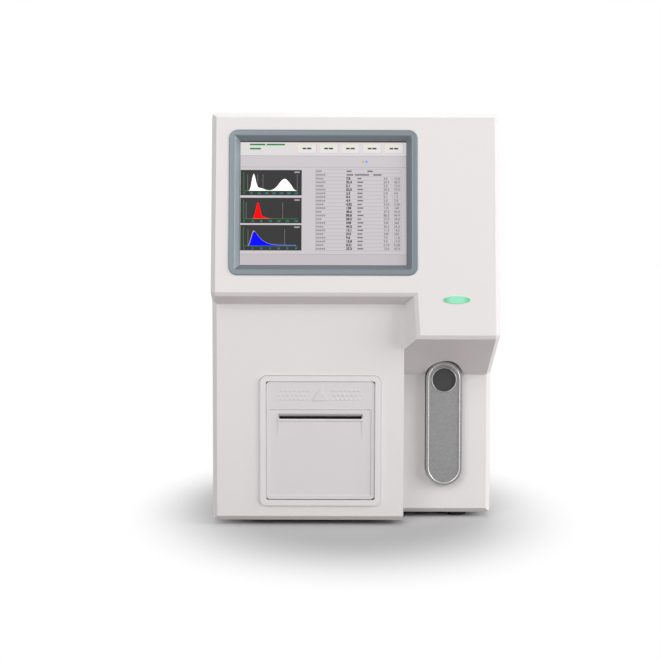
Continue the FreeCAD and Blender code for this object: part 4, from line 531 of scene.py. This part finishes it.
class COUNTER_OT_picture(bpy.types.Operator):
    """Draws the display's picture: head bar, buttons, three charts and the result table"""

    bl_idname = "counter.picture"
    bl_label = "Display picture"

    def execute(self, context):
        ground = picture("picture_ground", tuple(context.scene.counter_colours.screen))
        bar = picture("picture_bar", (0.565, 0.56, 0.555))
        foot_strip = picture("picture_foot", (0.44, 0.415, 0.435))
        rule_and_shade = picture("picture_rule_and_shade", (0.30, 0.29, 0.31))
        key = picture("picture_key", (0.60, 0.60, 0.56))
        warm = picture("picture_warm_edge", (0.72, 0.45, 0.40))
        cool = picture("picture_cool_edge", (0.50, 0.36, 0.66))
        ink_and_shade = picture("picture_ink_and_shade", (0.035, 0.035, 0.04), 0.0)
        pale_ink = picture("picture_pale_ink", (0.16, 0.16, 0.17), 0.0)
        leaf = picture("picture_green", (0.03, 0.22, 0.05), 0.15)
        dark = picture("picture_dark", (0.040, 0.040, 0.040), 0.1)
        white = picture("picture_white", (0.88, 0.88, 0.88), 0.5)
        red = picture("picture_red", (0.85, 0.0, 0.0), 0.5)
        blue = picture("picture_blue", (0.0, 0.0, 0.85), 0.5)
        sea = picture("picture_sea", (0.02, 0.36, 0.33), 0.3)
        grey = picture("picture_grey", (0.16, 0.16, 0.16), 0.1)
        amber = picture("picture_amber", (0.5, 0.42, 0.05), 0.2)
        sky = picture("picture_sky", (0.14, 0.30, 0.85), 0.2)

        page = Sheet()
        page.patch(0, 0, 1, 1, 0, ground)
        page.patch(0, 0, 1, BAR_FOOT, 1, bar)
        page.patch(0, STRIP_TOP, 1, 1, 1, foot_strip)
        # A dark strip along the top edge, over the first rule: painted shadow of the bezel's top rim.
        page.patch(0, 0, 1, 0.006, 3, ink_and_shade)
        for left, right, v, thick in RULES_AND_TOP_SHADE:
            page.patch(left, v, right, v + thick, 2, rule_and_shade)
        page.build("picture_page")

        keys = Sheet()
        for left in BUTTON_LEFTS:
            right = left + BUTTON_WIDE
            keys.patch(left, BUTTON_TOP, right, BUTTON_FOOT, 2, warm)
            keys.patch(left + 0.003, BUTTON_TOP + 0.004, right, BUTTON_FOOT, 3, cool)
            keys.patch(left + 0.003, BUTTON_TOP + 0.004, right - 0.003, BUTTON_FOOT - 0.004, 4, key)
            middle = left + BUTTON_WIDE / 2
            keys.patch(middle - 0.026, 0.050, middle - 0.004, 0.062, 5, ink_and_shade)
            keys.patch(middle + 0.001, 0.050, middle + 0.026, 0.062, 5, ink_and_shade)
        for left, right, top in ((0.057, 0.150, 0.018), (0.158, 0.268, 0.018), (0.057, 0.124, 0.052)):
            keys.patch(left, top, right, top + 0.013, 2, leaf)
        keys.patch(0.734, 0.155, 0.744, 0.172, 2, amber)
        keys.patch(0.754, 0.155, 0.766, 0.172, 2, sky)
        keys.build("picture_keys")

        charts = Sheet()
        for top in CHART_TOPS:
            foot, left, right = top + CHART_HIGH, CHART_LEFT, CHART_LEFT + CHART_WIDE
            charts.patch(left, top, right, foot, 2, dark)
            charts.patch(left + 0.017, top + 0.018, left + 0.021, foot - 0.036, 3, leaf)
            charts.patch(left + 0.017, foot - CHART_BASE, right - 0.024, foot - 0.034, 4, leaf)
            charts.patch(right - 0.044, top + 0.012, right - 0.012, top + 0.024, 3, rule_and_shade)
        base = [top + CHART_HIGH - CHART_BASE for top in CHART_TOPS]
        u = np.linspace(0, 1, 73)
        twin = bell(u, 0.12, 0.055, 0.128) + bell(u, 0.24, 0.12, 0.022) + bell(u, 0.745, 0.155, 0.096)
        rise = np.clip(u * 12, 0, 1) * np.clip((1 - u) * 9, 0, 1)
        charts.curve(0.045, 0.343, base[0], twin * rise, 4, white)
        sharp = bell(u, 0.24, 0.115, 0.128) + bell(u, 0.45, 0.2, 0.012)
        charts.curve(0.072, 0.218, base[1], sharp * rise, 4, red)
        climb, fall = np.sin(u / 0.12 * np.pi / 2) ** 1.6, np.exp(-(np.maximum(u - 0.12, 0) / 0.17) ** 1.25)
        long_tail = np.where(u < 0.12, climb, fall)
        charts.curve(0.050, 0.335, base[2], 0.006 + 0.118 * long_tail, 4, amber)
        charts.curve(0.053, 0.333, base[2], 0.004 + 0.113 * long_tail, 5, blue)
        for row, lines in enumerate(((0.043, 0.103, 0.135, 0.341), (0.035, 0.254), (0.047, 0.267))):
            for place in lines:
                charts.patch(place, CHART_TOPS[row] + 0.036, place + 0.0035, base[row], 3, grey)
        for row, step in enumerate((50, 40, 5)):
            count = 8 if row == 0 else 7
            for index in range(count):
                place = 0.024 + index * 0.313 / (count - 1)
                charts.digits(str(index * step), place, base[row] + 0.027, 0.019, 0.03, 3, sea, "CENTER")
        charts.build("picture_charts")

        table = Sheet()
        for row in range(TABLE_ROWS + 1):
            v = TABLE_TOP + row * TABLE_PITCH
            table.patch(TABLE_LEFT, v, TABLE_RIGHT, v + 0.0024, 2, rule_and_shade)
        for side in (TABLE_LEFT, TABLE_RIGHT):
            table.patch(side, TABLE_TOP, side + 0.0018, TABLE_TOP + TABLE_ROWS * TABLE_PITCH, 2, rule_and_shade)
        lengths = 0.030 + 0.026 * np.abs(np.sin(np.arange(TABLE_ROWS) * 1.7))
        strokes = np.arange(5) * 0.0115
        for row in range(TABLE_ROWS):
            v = TABLE_TOP + row * TABLE_PITCH + 0.010
            for stroke in strokes[strokes < lengths[row]]:
                start = TABLE_LEFT + 0.006 + stroke
                table.patch(start, v, start + 0.0080, v + 0.012, 3, pale_ink)
                table.patch(start + 0.0025, v + 0.004, start + 0.0055, v + 0.0085, 4, ground)
            if row > 1:
                table.patch(0.705, v, 0.705 + lengths[row] * 0.65, v + 0.010, 3, pale_ink)
                table.patch(0.910, v + 0.005, 0.918, v + 0.007, 3, pale_ink)
        for left, right in ((0.640, 0.670), (0.765, 0.797)):
            table.patch(left, TABLE_TOP + 0.010, right, TABLE_TOP + 0.021, 3, pale_ink)
        second = TABLE_TOP + TABLE_PITCH
        for left, right in ((0.640, 0.680), (0.690, 0.775), (0.800, 0.850)):
            table.patch(left, second + 0.010, right, second + 0.021, 3, pale_ink)
        first = TABLE_TOP + 2 * TABLE_PITCH + 0.024
        columns = (
            (VALUES, 0.637, ink_and_shade, 0.05),
            (LOWS, 0.862, pale_ink, 0.015),
            (HIGHS, 0.925, pale_ink, 0.015),
        )
        for numbers, place, tone, weight in columns:
            table.digits("\n".join(numbers), place, first, 0.027, TABLE_PITCH, 3, tone, weight=weight)
        table.build("picture_table")
        return {"FINISHED"}


# The front faces this way, and a bar on it is square to this direction.
FACE_WAY = (0.0, 1.0, 0.0)
# The door's sunk plate: half its width and height, its rise above the door's foot, its depth and its corner.
PLATE_HALF, PLATE_TALL, PLATE_RISE, PLATE_SINK, PLATE_CORNER = 0.0534, 0.0455, 0.0037, 0.0008, 0.0016
RING_CORNER, RING_PROUD = 0.007, 0.0019
# The paper slot: its rise above the door's foot and half its width.
SLOT_RISE, SLOT_HALF = 0.0854, 0.0437
# A line beside the slot: half its height and its corner.
SLOT_LINE_TALL, SLOT_LINE_CORNER = 0.0005, 0.00045
# Lines beside the paper slot: name, height above the slot's middle, thickness and tone.
# slot_lip is pale, a painted highlight of the slot's lit lower edge; slot_brow is grey, a painted shade line
# along the upper edge of the recess.
SLOT_LINES = (("slot_lip", -0.0022, 0.0006, "pale"), ("slot_brow", 0.0036, 0.0002, "grey"))
# Half the thickness of the fine bars: plate lip, ring line, key bead, pad ring and rocker marks.
LIP_THICK, LINE_THICK, BEAD_THICK, PAD_THICK, MARK_THICK = 0.00042, 0.00022, 0.00065, 0.00045, 0.00022
# The key: half its width, the rim's width, how deep the bead and the pad's ring lie, and the ring's radius.
KEY_HALF, KEY_RIM, BEAD_SINK, PAD_SINK, PAD_RADIUS = 0.0192, 0.0025, 0.00045, 0.0013, 0.0131


class COUNTER_OT_moulded(bpy.types.Operator):
    """Front cover, bezel, printer parts and key: moulded pieces with softly rounded edges"""

    bl_idname = "counter.moulded"
    bl_label = "Moulded front"

    def bar(self, name, path, thick, foot_y, top, material, body=ROOT):
        """A fine bar on the printer's panel: the path is sheared back by the panel's lean below its top."""
        path[:, 1] = foot_y + (top - path[:, 2]) * math.tan(PANEL_LEAN)
        smooth_object(name, *tube(path, thick, FACE_WAY), material, body)

    def lines(self, pale):
        """Fine bars round the door's sunk plate, round the printer's ring and beside the slot: the pale plate
        lip and slot lip are painted highlights of lit edges, and the grey ring line and slot brow are painted
        shade lines.
        """
        low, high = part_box("printer_door")
        seat = low[1] + PLATE_SINK
        across = (low[0] + high[0]) / 2
        middle = (across, low[2] + PLATE_RISE + PLATE_TALL)
        # The plate lip is a pale bar round the sunk plate: a painted highlight of its lit edge.
        path = round_path(middle, PLATE_HALF, PLATE_TALL, PLATE_CORNER, 0.0)
        self.bar("plate_lip", path, LIP_THICK, seat, high[2], pale, "door")
        # This grey is painted shade: the ring line along the ring's edge and the brow above the slot stand in
        # for shade at those edges.
        grey = finish("ring_line_painted_shade", (0.34, 0.33, 0.34), 0.9, grain=(1500.0, 0.05))
        tones = {"pale": pale, "grey": grey}
        for name, above, thick, tone in SLOT_LINES:
            middle = (across, low[2] + SLOT_RISE + above)
            path = round_path(middle, SLOT_HALF, SLOT_LINE_TALL, SLOT_LINE_CORNER, 0.0)
            self.bar(name, path, thick, seat, high[2], tones[tone], "door")
        low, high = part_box("printer_frame")
        middle = ((low[0] + high[0]) / 2, (low[2] + high[2]) / 2)
        path = round_path(middle, (high[0] - low[0]) / 2, (high[2] - low[2]) / 2, RING_CORNER, 0.0)
        self.bar("ring_line", path, LINE_THICK, low[1] + RING_PROUD, high[2], grey)

    def execute(self, context):
        colours = context.scene.counter_colours
        edge = context.scene.counter_sizes.soft_edge
        cover = finish("front_moulding", tuple(colours.moulding), 0.965, (0.42, 0.52), (1500.0, 0.05))
        soften("front_cover", cover, edge * 1.7)
        bezel = finish("bezel_paint", tuple(colours.bezel), 0.93, (0.36, 0.46), (1700.0, 0.05), metal=0.3)
        soften("screen_bezel", bezel, edge * 1.2)
        ring = finish("printer_ring_plastic", (0.79, 0.775, 0.78), shade=0.96, grain=(1500.0, 0.05))
        soften("printer_frame", ring, edge)
        plate = finish("printer_door_plastic", (0.73, 0.705, 0.715), shade=0.96, grain=(1500.0, 0.05))
        soften("printer_door", plate, edge * 0.6, "door")
        self.lines(ring)
        key = finish("key_paint", tuple(colours.key), 0.5, (0.30, 0.42), (900.0, 0.14), 0.7, 420.0, 0.45)
        soften("aspirate_key", key, edge * 1.6, "key")
        # The bead round the key's rim and the ring round the pad are a paler, shinier metal than the key:
        # painted highlights of the rim's lit crest and of the lit lower edge of the pad's hole.
        painted_highlight = finish("key_bead_painted_highlight", (0.72, 0.72, 0.73), 0.85, (0.22, 0.32), (1400.0, 0.05), metal=0.85)
        low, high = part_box("aspirate_key")
        port_low, port_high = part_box("needle_port")
        port = ((port_low[0] + port_high[0]) / 2, (port_low[2] + port_high[2]) / 2)
        middle = (port[0], (low[2] + high[2]) / 2)
        inset = KEY_HALF - KEY_RIM
        path = round_path(middle, inset, (high[2] - low[2]) / 2 - KEY_RIM, inset, low[1] + BEAD_SINK)
        smooth_object("key_bead", *tube(path, BEAD_THICK, FACE_WAY), painted_highlight, "key")
        path = round_path(port, PAD_RADIUS, PAD_RADIUS, PAD_RADIUS, low[1] + PAD_SINK)
        smooth_object("pad_ring", *tube(path, PAD_THICK, FACE_WAY), painted_highlight, "key")
        nose = finish("needle_port_black", (0.045, 0.045, 0.045), 0.6, (0.45, 0.6), (1300.0, 0.2), 0.6)
        soften("needle_port", nose, edge * 0.6)
        paint("needle_guide", nose)
        return {"FINISHED"}


# The lens: its deep green, and where the deepening starts and ends, in shares of the width from its middle.
LENS_DEEP, LENS_PALE_END, LENS_DEEP_START = (0.05, 0.50, 0.13, 1.0), 0.16, 0.52
# Rounding of the lens and of bent sheet.
FINE_EDGE = 0.0005


class COUNTER_OT_lamp(bpy.types.Operator):
    """The status lens: green plastic, deeper towards its ends and lit a little from behind"""

    bl_idname = "counter.lamp"
    bl_label = "Status lamp"

    def execute(self, context):
        green = finish("lamp_green", tuple(context.scene.counter_colours.lamp), shade=0.9, rough=(0.18, 0.25))
        shader = green.node_tree.nodes["Principled BSDF"]
        shader.inputs["Emission Strength"].default_value = 0.06
        nodes, links = green.node_tree.nodes, green.node_tree.links
        low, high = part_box("lamp_lens")
        place = nodes.new("ShaderNodeTexCoord")
        away = nodes.new("ShaderNodeVectorMath")
        away.operation = "DISTANCE"
        away.inputs[1].default_value = [(a + b) / 2 for a, b in zip(low, high)]
        rim = nodes.new("ShaderNodeMapRange")
        rim.interpolation_type = "SMOOTHSTEP"
        rim.inputs["From Min"].default_value = LENS_PALE_END * (high[0] - low[0])
        rim.inputs["From Max"].default_value = LENS_DEEP_START * (high[0] - low[0])
        deep = nodes.new("ShaderNodeMix")
        deep.data_type = "RGBA"
        deep.inputs["B"].default_value = LENS_DEEP
        tone = shader.inputs["Base Color"].links[0].from_socket
        links.new(place.outputs["Object"], away.inputs[0])
        links.new(away.outputs["Value"], rim.inputs["Value"])
        links.new(rim.outputs["Result"], deep.inputs["Factor"])
        links.new(tone, deep.inputs["A"])
        links.new(deep.outputs["Result"], shader.inputs["Base Color"])
        links.new(deep.outputs["Result"], shader.inputs["Emission Color"])
        soften("lamp_lens", green, FINE_EDGE)
        return {"FINISHED"}


# Finishes of the inner and rear pieces: the nodes, the colour and the lower end of the roughness.
METALS = {
    "steel_bright": (
        ("paper_spindle", "guide_rods", "lead_screw", "sample_needle"),
        (0.62, 0.62, 0.63),
        0.22,
    ),
    "steel_brushed": (
        ("lcd_bracket", "key_bracket", "needle_frame", "fan_guard", "print_head"),
        (0.55, 0.55, 0.56),
        0.34,
    ),
    "zinc_sheet": (("deck_plate", "power_supply", "print_chassis"), (0.60, 0.61, 0.62), 0.40),
    "aluminium": (("bath_tray", "syringe_block"), (0.68, 0.69, 0.70), 0.36),
    "brass_turned": (("reagent_spigots", "waste_spigot", "sensor_socket"), (0.62, 0.44, 0.20), 0.30),
}

PLASTICS = {
    "black_plastic": (
        (
            "fan_frame",
            "fan_rotor",
            "power_inlet",
            "power_switch",
            "switch_frame",
            "serial_port",
            "key_switch",
            "needle_motor",
            "print_motor",
            "solenoid_valves",
            "air_pump",
        ),
        (0.028, 0.028, 0.030),
        0.42,
    ),
    "rubber_black": (("feet", "platen_roller"), (0.022, 0.022, 0.022), 0.65),
    "board_green": (("display_board", "lamp_board", "main_board"), (0.02, 0.11, 0.05), 0.42),
    "white_nylon": (
        ("platen_gear", "motor_pinion", "needle_carriage", "syringe_plungers", "waste_chamber", "pump_rotor"),
        (0.78, 0.78, 0.75),
        0.45,
    ),
    "grey_plastic": (("valve_manifold", "pump_housing", "lcd_panel"), (0.20, 0.21, 0.22), 0.45),
    "paper_white": (("paper_roll",), (0.86, 0.85, 0.82), 0.8),
    "card_brown": (("paper_core",), (0.36, 0.26, 0.16), 0.8),
}


# The mains rocker: its axle, the rise of its ends, the dip of its middle, half its height and its tilt.
ROCKER_AXLE = np.array([0.050, 0.1716, 0.0605])
ROCKER_RISE, ROCKER_DIP, ROCKER_REACH, ROCKER_TILT = 0.006, 0.003, 0.0075, math.radians(8)
# Its marks: half the height of both, and half the width of the line and of the ring.
MARK_TALL, MARK_LINE, MARK_RING = 0.0014, 0.0001, 0.0012


def rocker_mark(name, side, half_wide, material):
    """A line or ring mark on one face of the mains rocker, laid on its slope and turned with its tilt."""
    slope = np.array([0.0, side * (ROCKER_RISE - ROCKER_DIP), ROCKER_REACH])
    slope /= np.linalg.norm(slope)
    out = np.array([0.0, slope[2], -slope[1]])
    middle = np.array([0.0, (ROCKER_RISE + ROCKER_DIP) / 2, side * ROCKER_REACH / 2])
    flat = round_path((0.0, 0.0), half_wide, MARK_TALL, half_wide, 0.0)
    path = middle + flat[:, :1] * np.array([1.0, 0.0, 0.0]) + flat[:, 2:] * slope
    c, s = math.cos(ROCKER_TILT), math.sin(ROCKER_TILT)
    tilt = np.array([[1.0, 0.0, 0.0], [0.0, c, s], [0.0, -s, c]])
    points, faces = tube(path @ tilt.T + ROCKER_AXLE, MARK_THICK, tilt @ out)
    smooth_object(name, points, faces, material, "switch")


class COUNTER_OT_works(bpy.types.Operator):
    """Finishes of the case, the rear panel and everything inside"""

    bl_idname = "counter.works"
    bl_label = "Case and works"

    def execute(self, context):
        colours = context.scene.counter_colours
        case = finish("case_paint", tuple(colours.sheet), shade=0.95, rough=(0.45, 0.55), grain=(700.0, 0.16))
        for node in ("case_cover", "base_pan", "rear_panel"):
            soften(node, case, FINE_EDGE)
        for name, (nodes, colour, rough) in METALS.items():
            metal = finish(name, colour, 0.88, (rough, rough + 0.12), (1200.0, 0.04), metal=1.0)
            for node in nodes:
                paint(node, metal)
        for name, (nodes, colour, rough) in PLASTICS.items():
            plastic = finish(name, colour, 0.85, (rough, rough + 0.12), (1100.0, 0.06))
            for node in nodes:
                paint(node, plastic)
        low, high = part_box("case_screws")
        heights = (low[2] + SCREW_RADIUS, BODY_LOW + BODY_HEIGHT / 2, high[2] - SCREW_RADIUS)
        sides = (low[0] + SCREW_RADIUS, high[0] - SCREW_RADIUS)
        places = [(x, low[1], z) for x in sides for z in heights]
        heads = joined([screw_head(place, SCREW_RADIUS, high[1] - low[1]) for place in places])
        screws = smooth_object("screw_heads", *heads, bpy.data.materials["steel_brushed"])
        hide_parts("case_screws")
        port = finish("port_shell", (0.55, 0.55, 0.56), 0.88, (0.28, 0.38), (1200.0, 0.04), metal=1.0)
        paint("usb_port", port)
        mark = finish("mark_white", (0.78, 0.78, 0.76), shade=0.9, grain=(1500.0, 0.05))
        rocker_mark("mark_on", 1, MARK_LINE, mark)
        rocker_mark("mark_off", -1, MARK_RING, mark)
        clear = finish("clear_acrylic", (0.90, 0.93, 0.94), 0.98, (0.03, 0.08), (200.0, 0.0))
        shader = clear.node_tree.nodes["Principled BSDF"]
        shader.inputs["Transmission Weight"].default_value = 0.9
        for node in ("counting_baths", "syringe_barrels"):
            paint(node, clear)
        glass = finish("display_glass", (0.05, 0.055, 0.06), 0.95, (0.06, 0.12), (300.0, 0.0))
        paint("touch_glass", glass)
        return {"FINISHED"}


# Colour that the floor gives back to the object, and the strength of the surroundings.
FLOOR_BOUNCE = (0.44, 0.39, 0.40, 1.0)
SKY_LEVEL = 0.34
# Where the floor's painted shade pool turns white: the middle of the pool, the squeeze across and the start
# and end of the step.
SHADE_MIDDLE, SHADE_SQUEEZE, SHADE_REACH = (0.0, -0.02, 0.0), (1.75, 1.0, 1.0), (0.20, 0.45)
FLOOR_HALF = 12.0
# Lamps: name, place, what it looks at, width of the disk, watts.
LAMPS = (
    ("right_lamp", (2.60, -1.35, 0.90), (0.0, -0.15, 0.20), 2.7, 78.0),
    ("front_lamp", (-1.20, -2.60, 1.45), (0.0, -0.15, 0.20), 2.0, 35.0),
    ("rear_lamp", (0.10, 0.95, 2.30), (0.0, -0.10, 0.10), 0.9, 21.0),
)


def seen_ray(nodes, links):
    """A socket that is one for rays from the camera, off gloss and through glass, and else nought."""
    path = nodes.new("ShaderNodeLightPath")
    direct = nodes.new("ShaderNodeMath")
    direct.operation = "MAXIMUM"
    either = nodes.new("ShaderNodeMath")
    either.operation = "MAXIMUM"
    links.new(path.outputs["Is Camera Ray"], direct.inputs[0])
    links.new(path.outputs["Is Glossy Ray"], direct.inputs[1])
    links.new(direct.outputs[0], either.inputs[0])
    links.new(path.outputs["Is Transmission Ray"], either.inputs[1])
    return either.outputs[0]


def floor_material():
    """Pale paper: near the counter a darker grey, a painted shade pool that also takes the real shadow, plain
    white further off, and a duller bounce light.

    The share of white is a smooth step of the distance from the middle, with the width squeezed.
    """
    # The near grey is painted shade: a darker floor round the counter, fading to white, standing in for a
    # shadow pool.
    material = finish("floor_paper", (0.58, 0.58, 0.58), 0.99, (0.7, 0.8), (300.0, 0.02), scale=3.0)
    nodes, links = material.node_tree.nodes, material.node_tree.links
    near = nodes["Principled BSDF"]
    near.inputs["Specular IOR Level"].default_value = 0.0
    sink = nodes["Material Output"]
    place = nodes.new("ShaderNodeTexCoord")
    narrow = nodes.new("ShaderNodeVectorMath")
    narrow.operation = "MULTIPLY"
    narrow.inputs[1].default_value = SHADE_SQUEEZE
    away = nodes.new("ShaderNodeVectorMath")
    away.operation = "DISTANCE"
    away.inputs[1].default_value = SHADE_MIDDLE
    mask = nodes.new("ShaderNodeMapRange")
    mask.interpolation_type = "SMOOTHSTEP"
    mask.inputs["From Min"].default_value, mask.inputs["From Max"].default_value = SHADE_REACH
    glow = nodes.new("ShaderNodeEmission")
    glow.inputs["Color"].default_value = (1.0, 1.0, 1.0, 1.0)
    seen = nodes.new("ShaderNodeMixShader")
    bounce = nodes.new("ShaderNodeBsdfDiffuse")
    bounce.inputs["Color"].default_value = FLOOR_BOUNCE
    choice = nodes.new("ShaderNodeMixShader")
    links.new(place.outputs["Object"], narrow.inputs[0])
    links.new(narrow.outputs["Vector"], away.inputs[0])
    links.new(away.outputs["Value"], mask.inputs["Value"])
    links.new(mask.outputs["Result"], seen.inputs["Fac"])
    links.new(near.outputs[0], seen.inputs[1])
    links.new(glow.outputs[0], seen.inputs[2])
    links.new(seen_ray(nodes, links), choice.inputs["Fac"])
    links.new(bounce.outputs[0], choice.inputs[1])
    links.new(seen.outputs[0], choice.inputs[2])
    links.new(choice.outputs[0], sink.inputs["Surface"])
    return material


class COUNTER_OT_stage(bpy.types.Operator):
    """Pale floor, white surroundings, soft lamps and the camera"""

    bl_idname = "counter.stage"
    bl_label = "Stage"

    def execute(self, context):
        sizes = context.scene.counter_sizes
        floor_mesh = bpy.data.meshes.new("floor")
        signs = ((-1, -1), (1, -1), (1, 1), (-1, 1))
        corners = [(x * FLOOR_HALF, y * FLOOR_HALF, 0) for x, y in signs]
        floor_mesh.from_pydata(corners, [], [(0, 1, 2, 3)])
        floor = bpy.data.objects.new("floor", floor_mesh)
        context.scene.collection.objects.link(floor)
        floor_mesh.materials.append(floor_material())

        world = bpy.data.worlds.new("surround")
        context.scene.world = world
        world.use_nodes = True
        nodes, links = world.node_tree.nodes, world.node_tree.links
        back = nodes["Background"]
        level = nodes.new("ShaderNodeMapRange")
        level.inputs["To Min"].default_value = SKY_LEVEL
        links.new(seen_ray(nodes, links), level.inputs["Value"])
        links.new(level.outputs["Result"], back.inputs["Strength"])
        back.inputs["Color"].default_value = (1.0, 1.0, 1.0, 1.0)

        for name, place, aim, wide, watts in LAMPS:
            lamp = bpy.data.lights.new(name, "AREA")
            lamp.energy, lamp.size, lamp.shape = watts, wide, "DISK"
            holder = bpy.data.objects.new(name, lamp)
            holder.location = place
            holder.rotation_euler = (Vector(aim) - Vector(place)).to_track_quat("-Z", "Y").to_euler()
            context.scene.collection.objects.link(holder)

        data = bpy.data.cameras.new("camera")
        data.sensor_width = 36.0
        data.lens = sizes.lens_focal
        camera = bpy.data.objects.new("camera", data)
        camera.location = (sizes.lens_x, STEP_Y - sizes.lens_reach, BODY_LOW + sizes.lens_height)
        yaw = Matrix.Rotation(sizes.lens_yaw, 4, "Z")
        pitch = Matrix.Rotation(math.pi / 2 - sizes.lens_pitch, 4, "X")
        roll = Matrix.Rotation(sizes.lens_roll, 4, "Z")
        camera.rotation_euler = (yaw @ pitch @ roll).to_euler()
        context.scene.collection.objects.link(camera)
        context.scene.camera = camera
        context.scene.view_settings.view_transform = "Standard"
        return {"FINISHED"}


class COUNTER_PT_panel(bpy.types.Panel):
    """Sizes, colours and the steps that dress the counter"""

    bl_idname = "COUNTER_PT_panel"
    bl_label = "Cell counter"
    bl_space_type = "VIEW_3D"
    bl_region_type = "UI"
    bl_category = "Counter"

    def draw(self, context):
        layout = self.layout
        for group in (context.scene.counter_sizes, context.scene.counter_colours):
            for name in group.__annotations__:
                layout.prop(group, name)
        for step in STEPS:
            layout.operator(step.bl_idname)


STEPS = (COUNTER_OT_stage, COUNTER_OT_moulded, COUNTER_OT_lamp, COUNTER_OT_picture, COUNTER_OT_works)
CLASSES = (CounterColours, CounterSizes, *STEPS, COUNTER_PT_panel)


def register():
    """Makes the classes known and hangs the settings on the scene."""
    for item in CLASSES:
        bpy.utils.register_class(item)
    bpy.types.Scene.counter_colours = bpy.props.PointerProperty(type=CounterColours)
    bpy.types.Scene.counter_sizes = bpy.props.PointerProperty(type=CounterSizes)


def unregister():
    """Takes the settings and the classes away again."""
    del bpy.types.Scene.counter_sizes
    del bpy.types.Scene.counter_colours
    for item in reversed(CLASSES):
        bpy.utils.unregister_class(item)


def main():
    """Dresses the counter."""
    register()
    build_grain_group()
    build_tone_group()
    bpy.ops.counter.stage()
    bpy.ops.counter.moulded()
    bpy.ops.counter.lamp()
    bpy.ops.counter.picture()
    bpy.ops.counter.works()


if __name__ == "__main__":
    main()
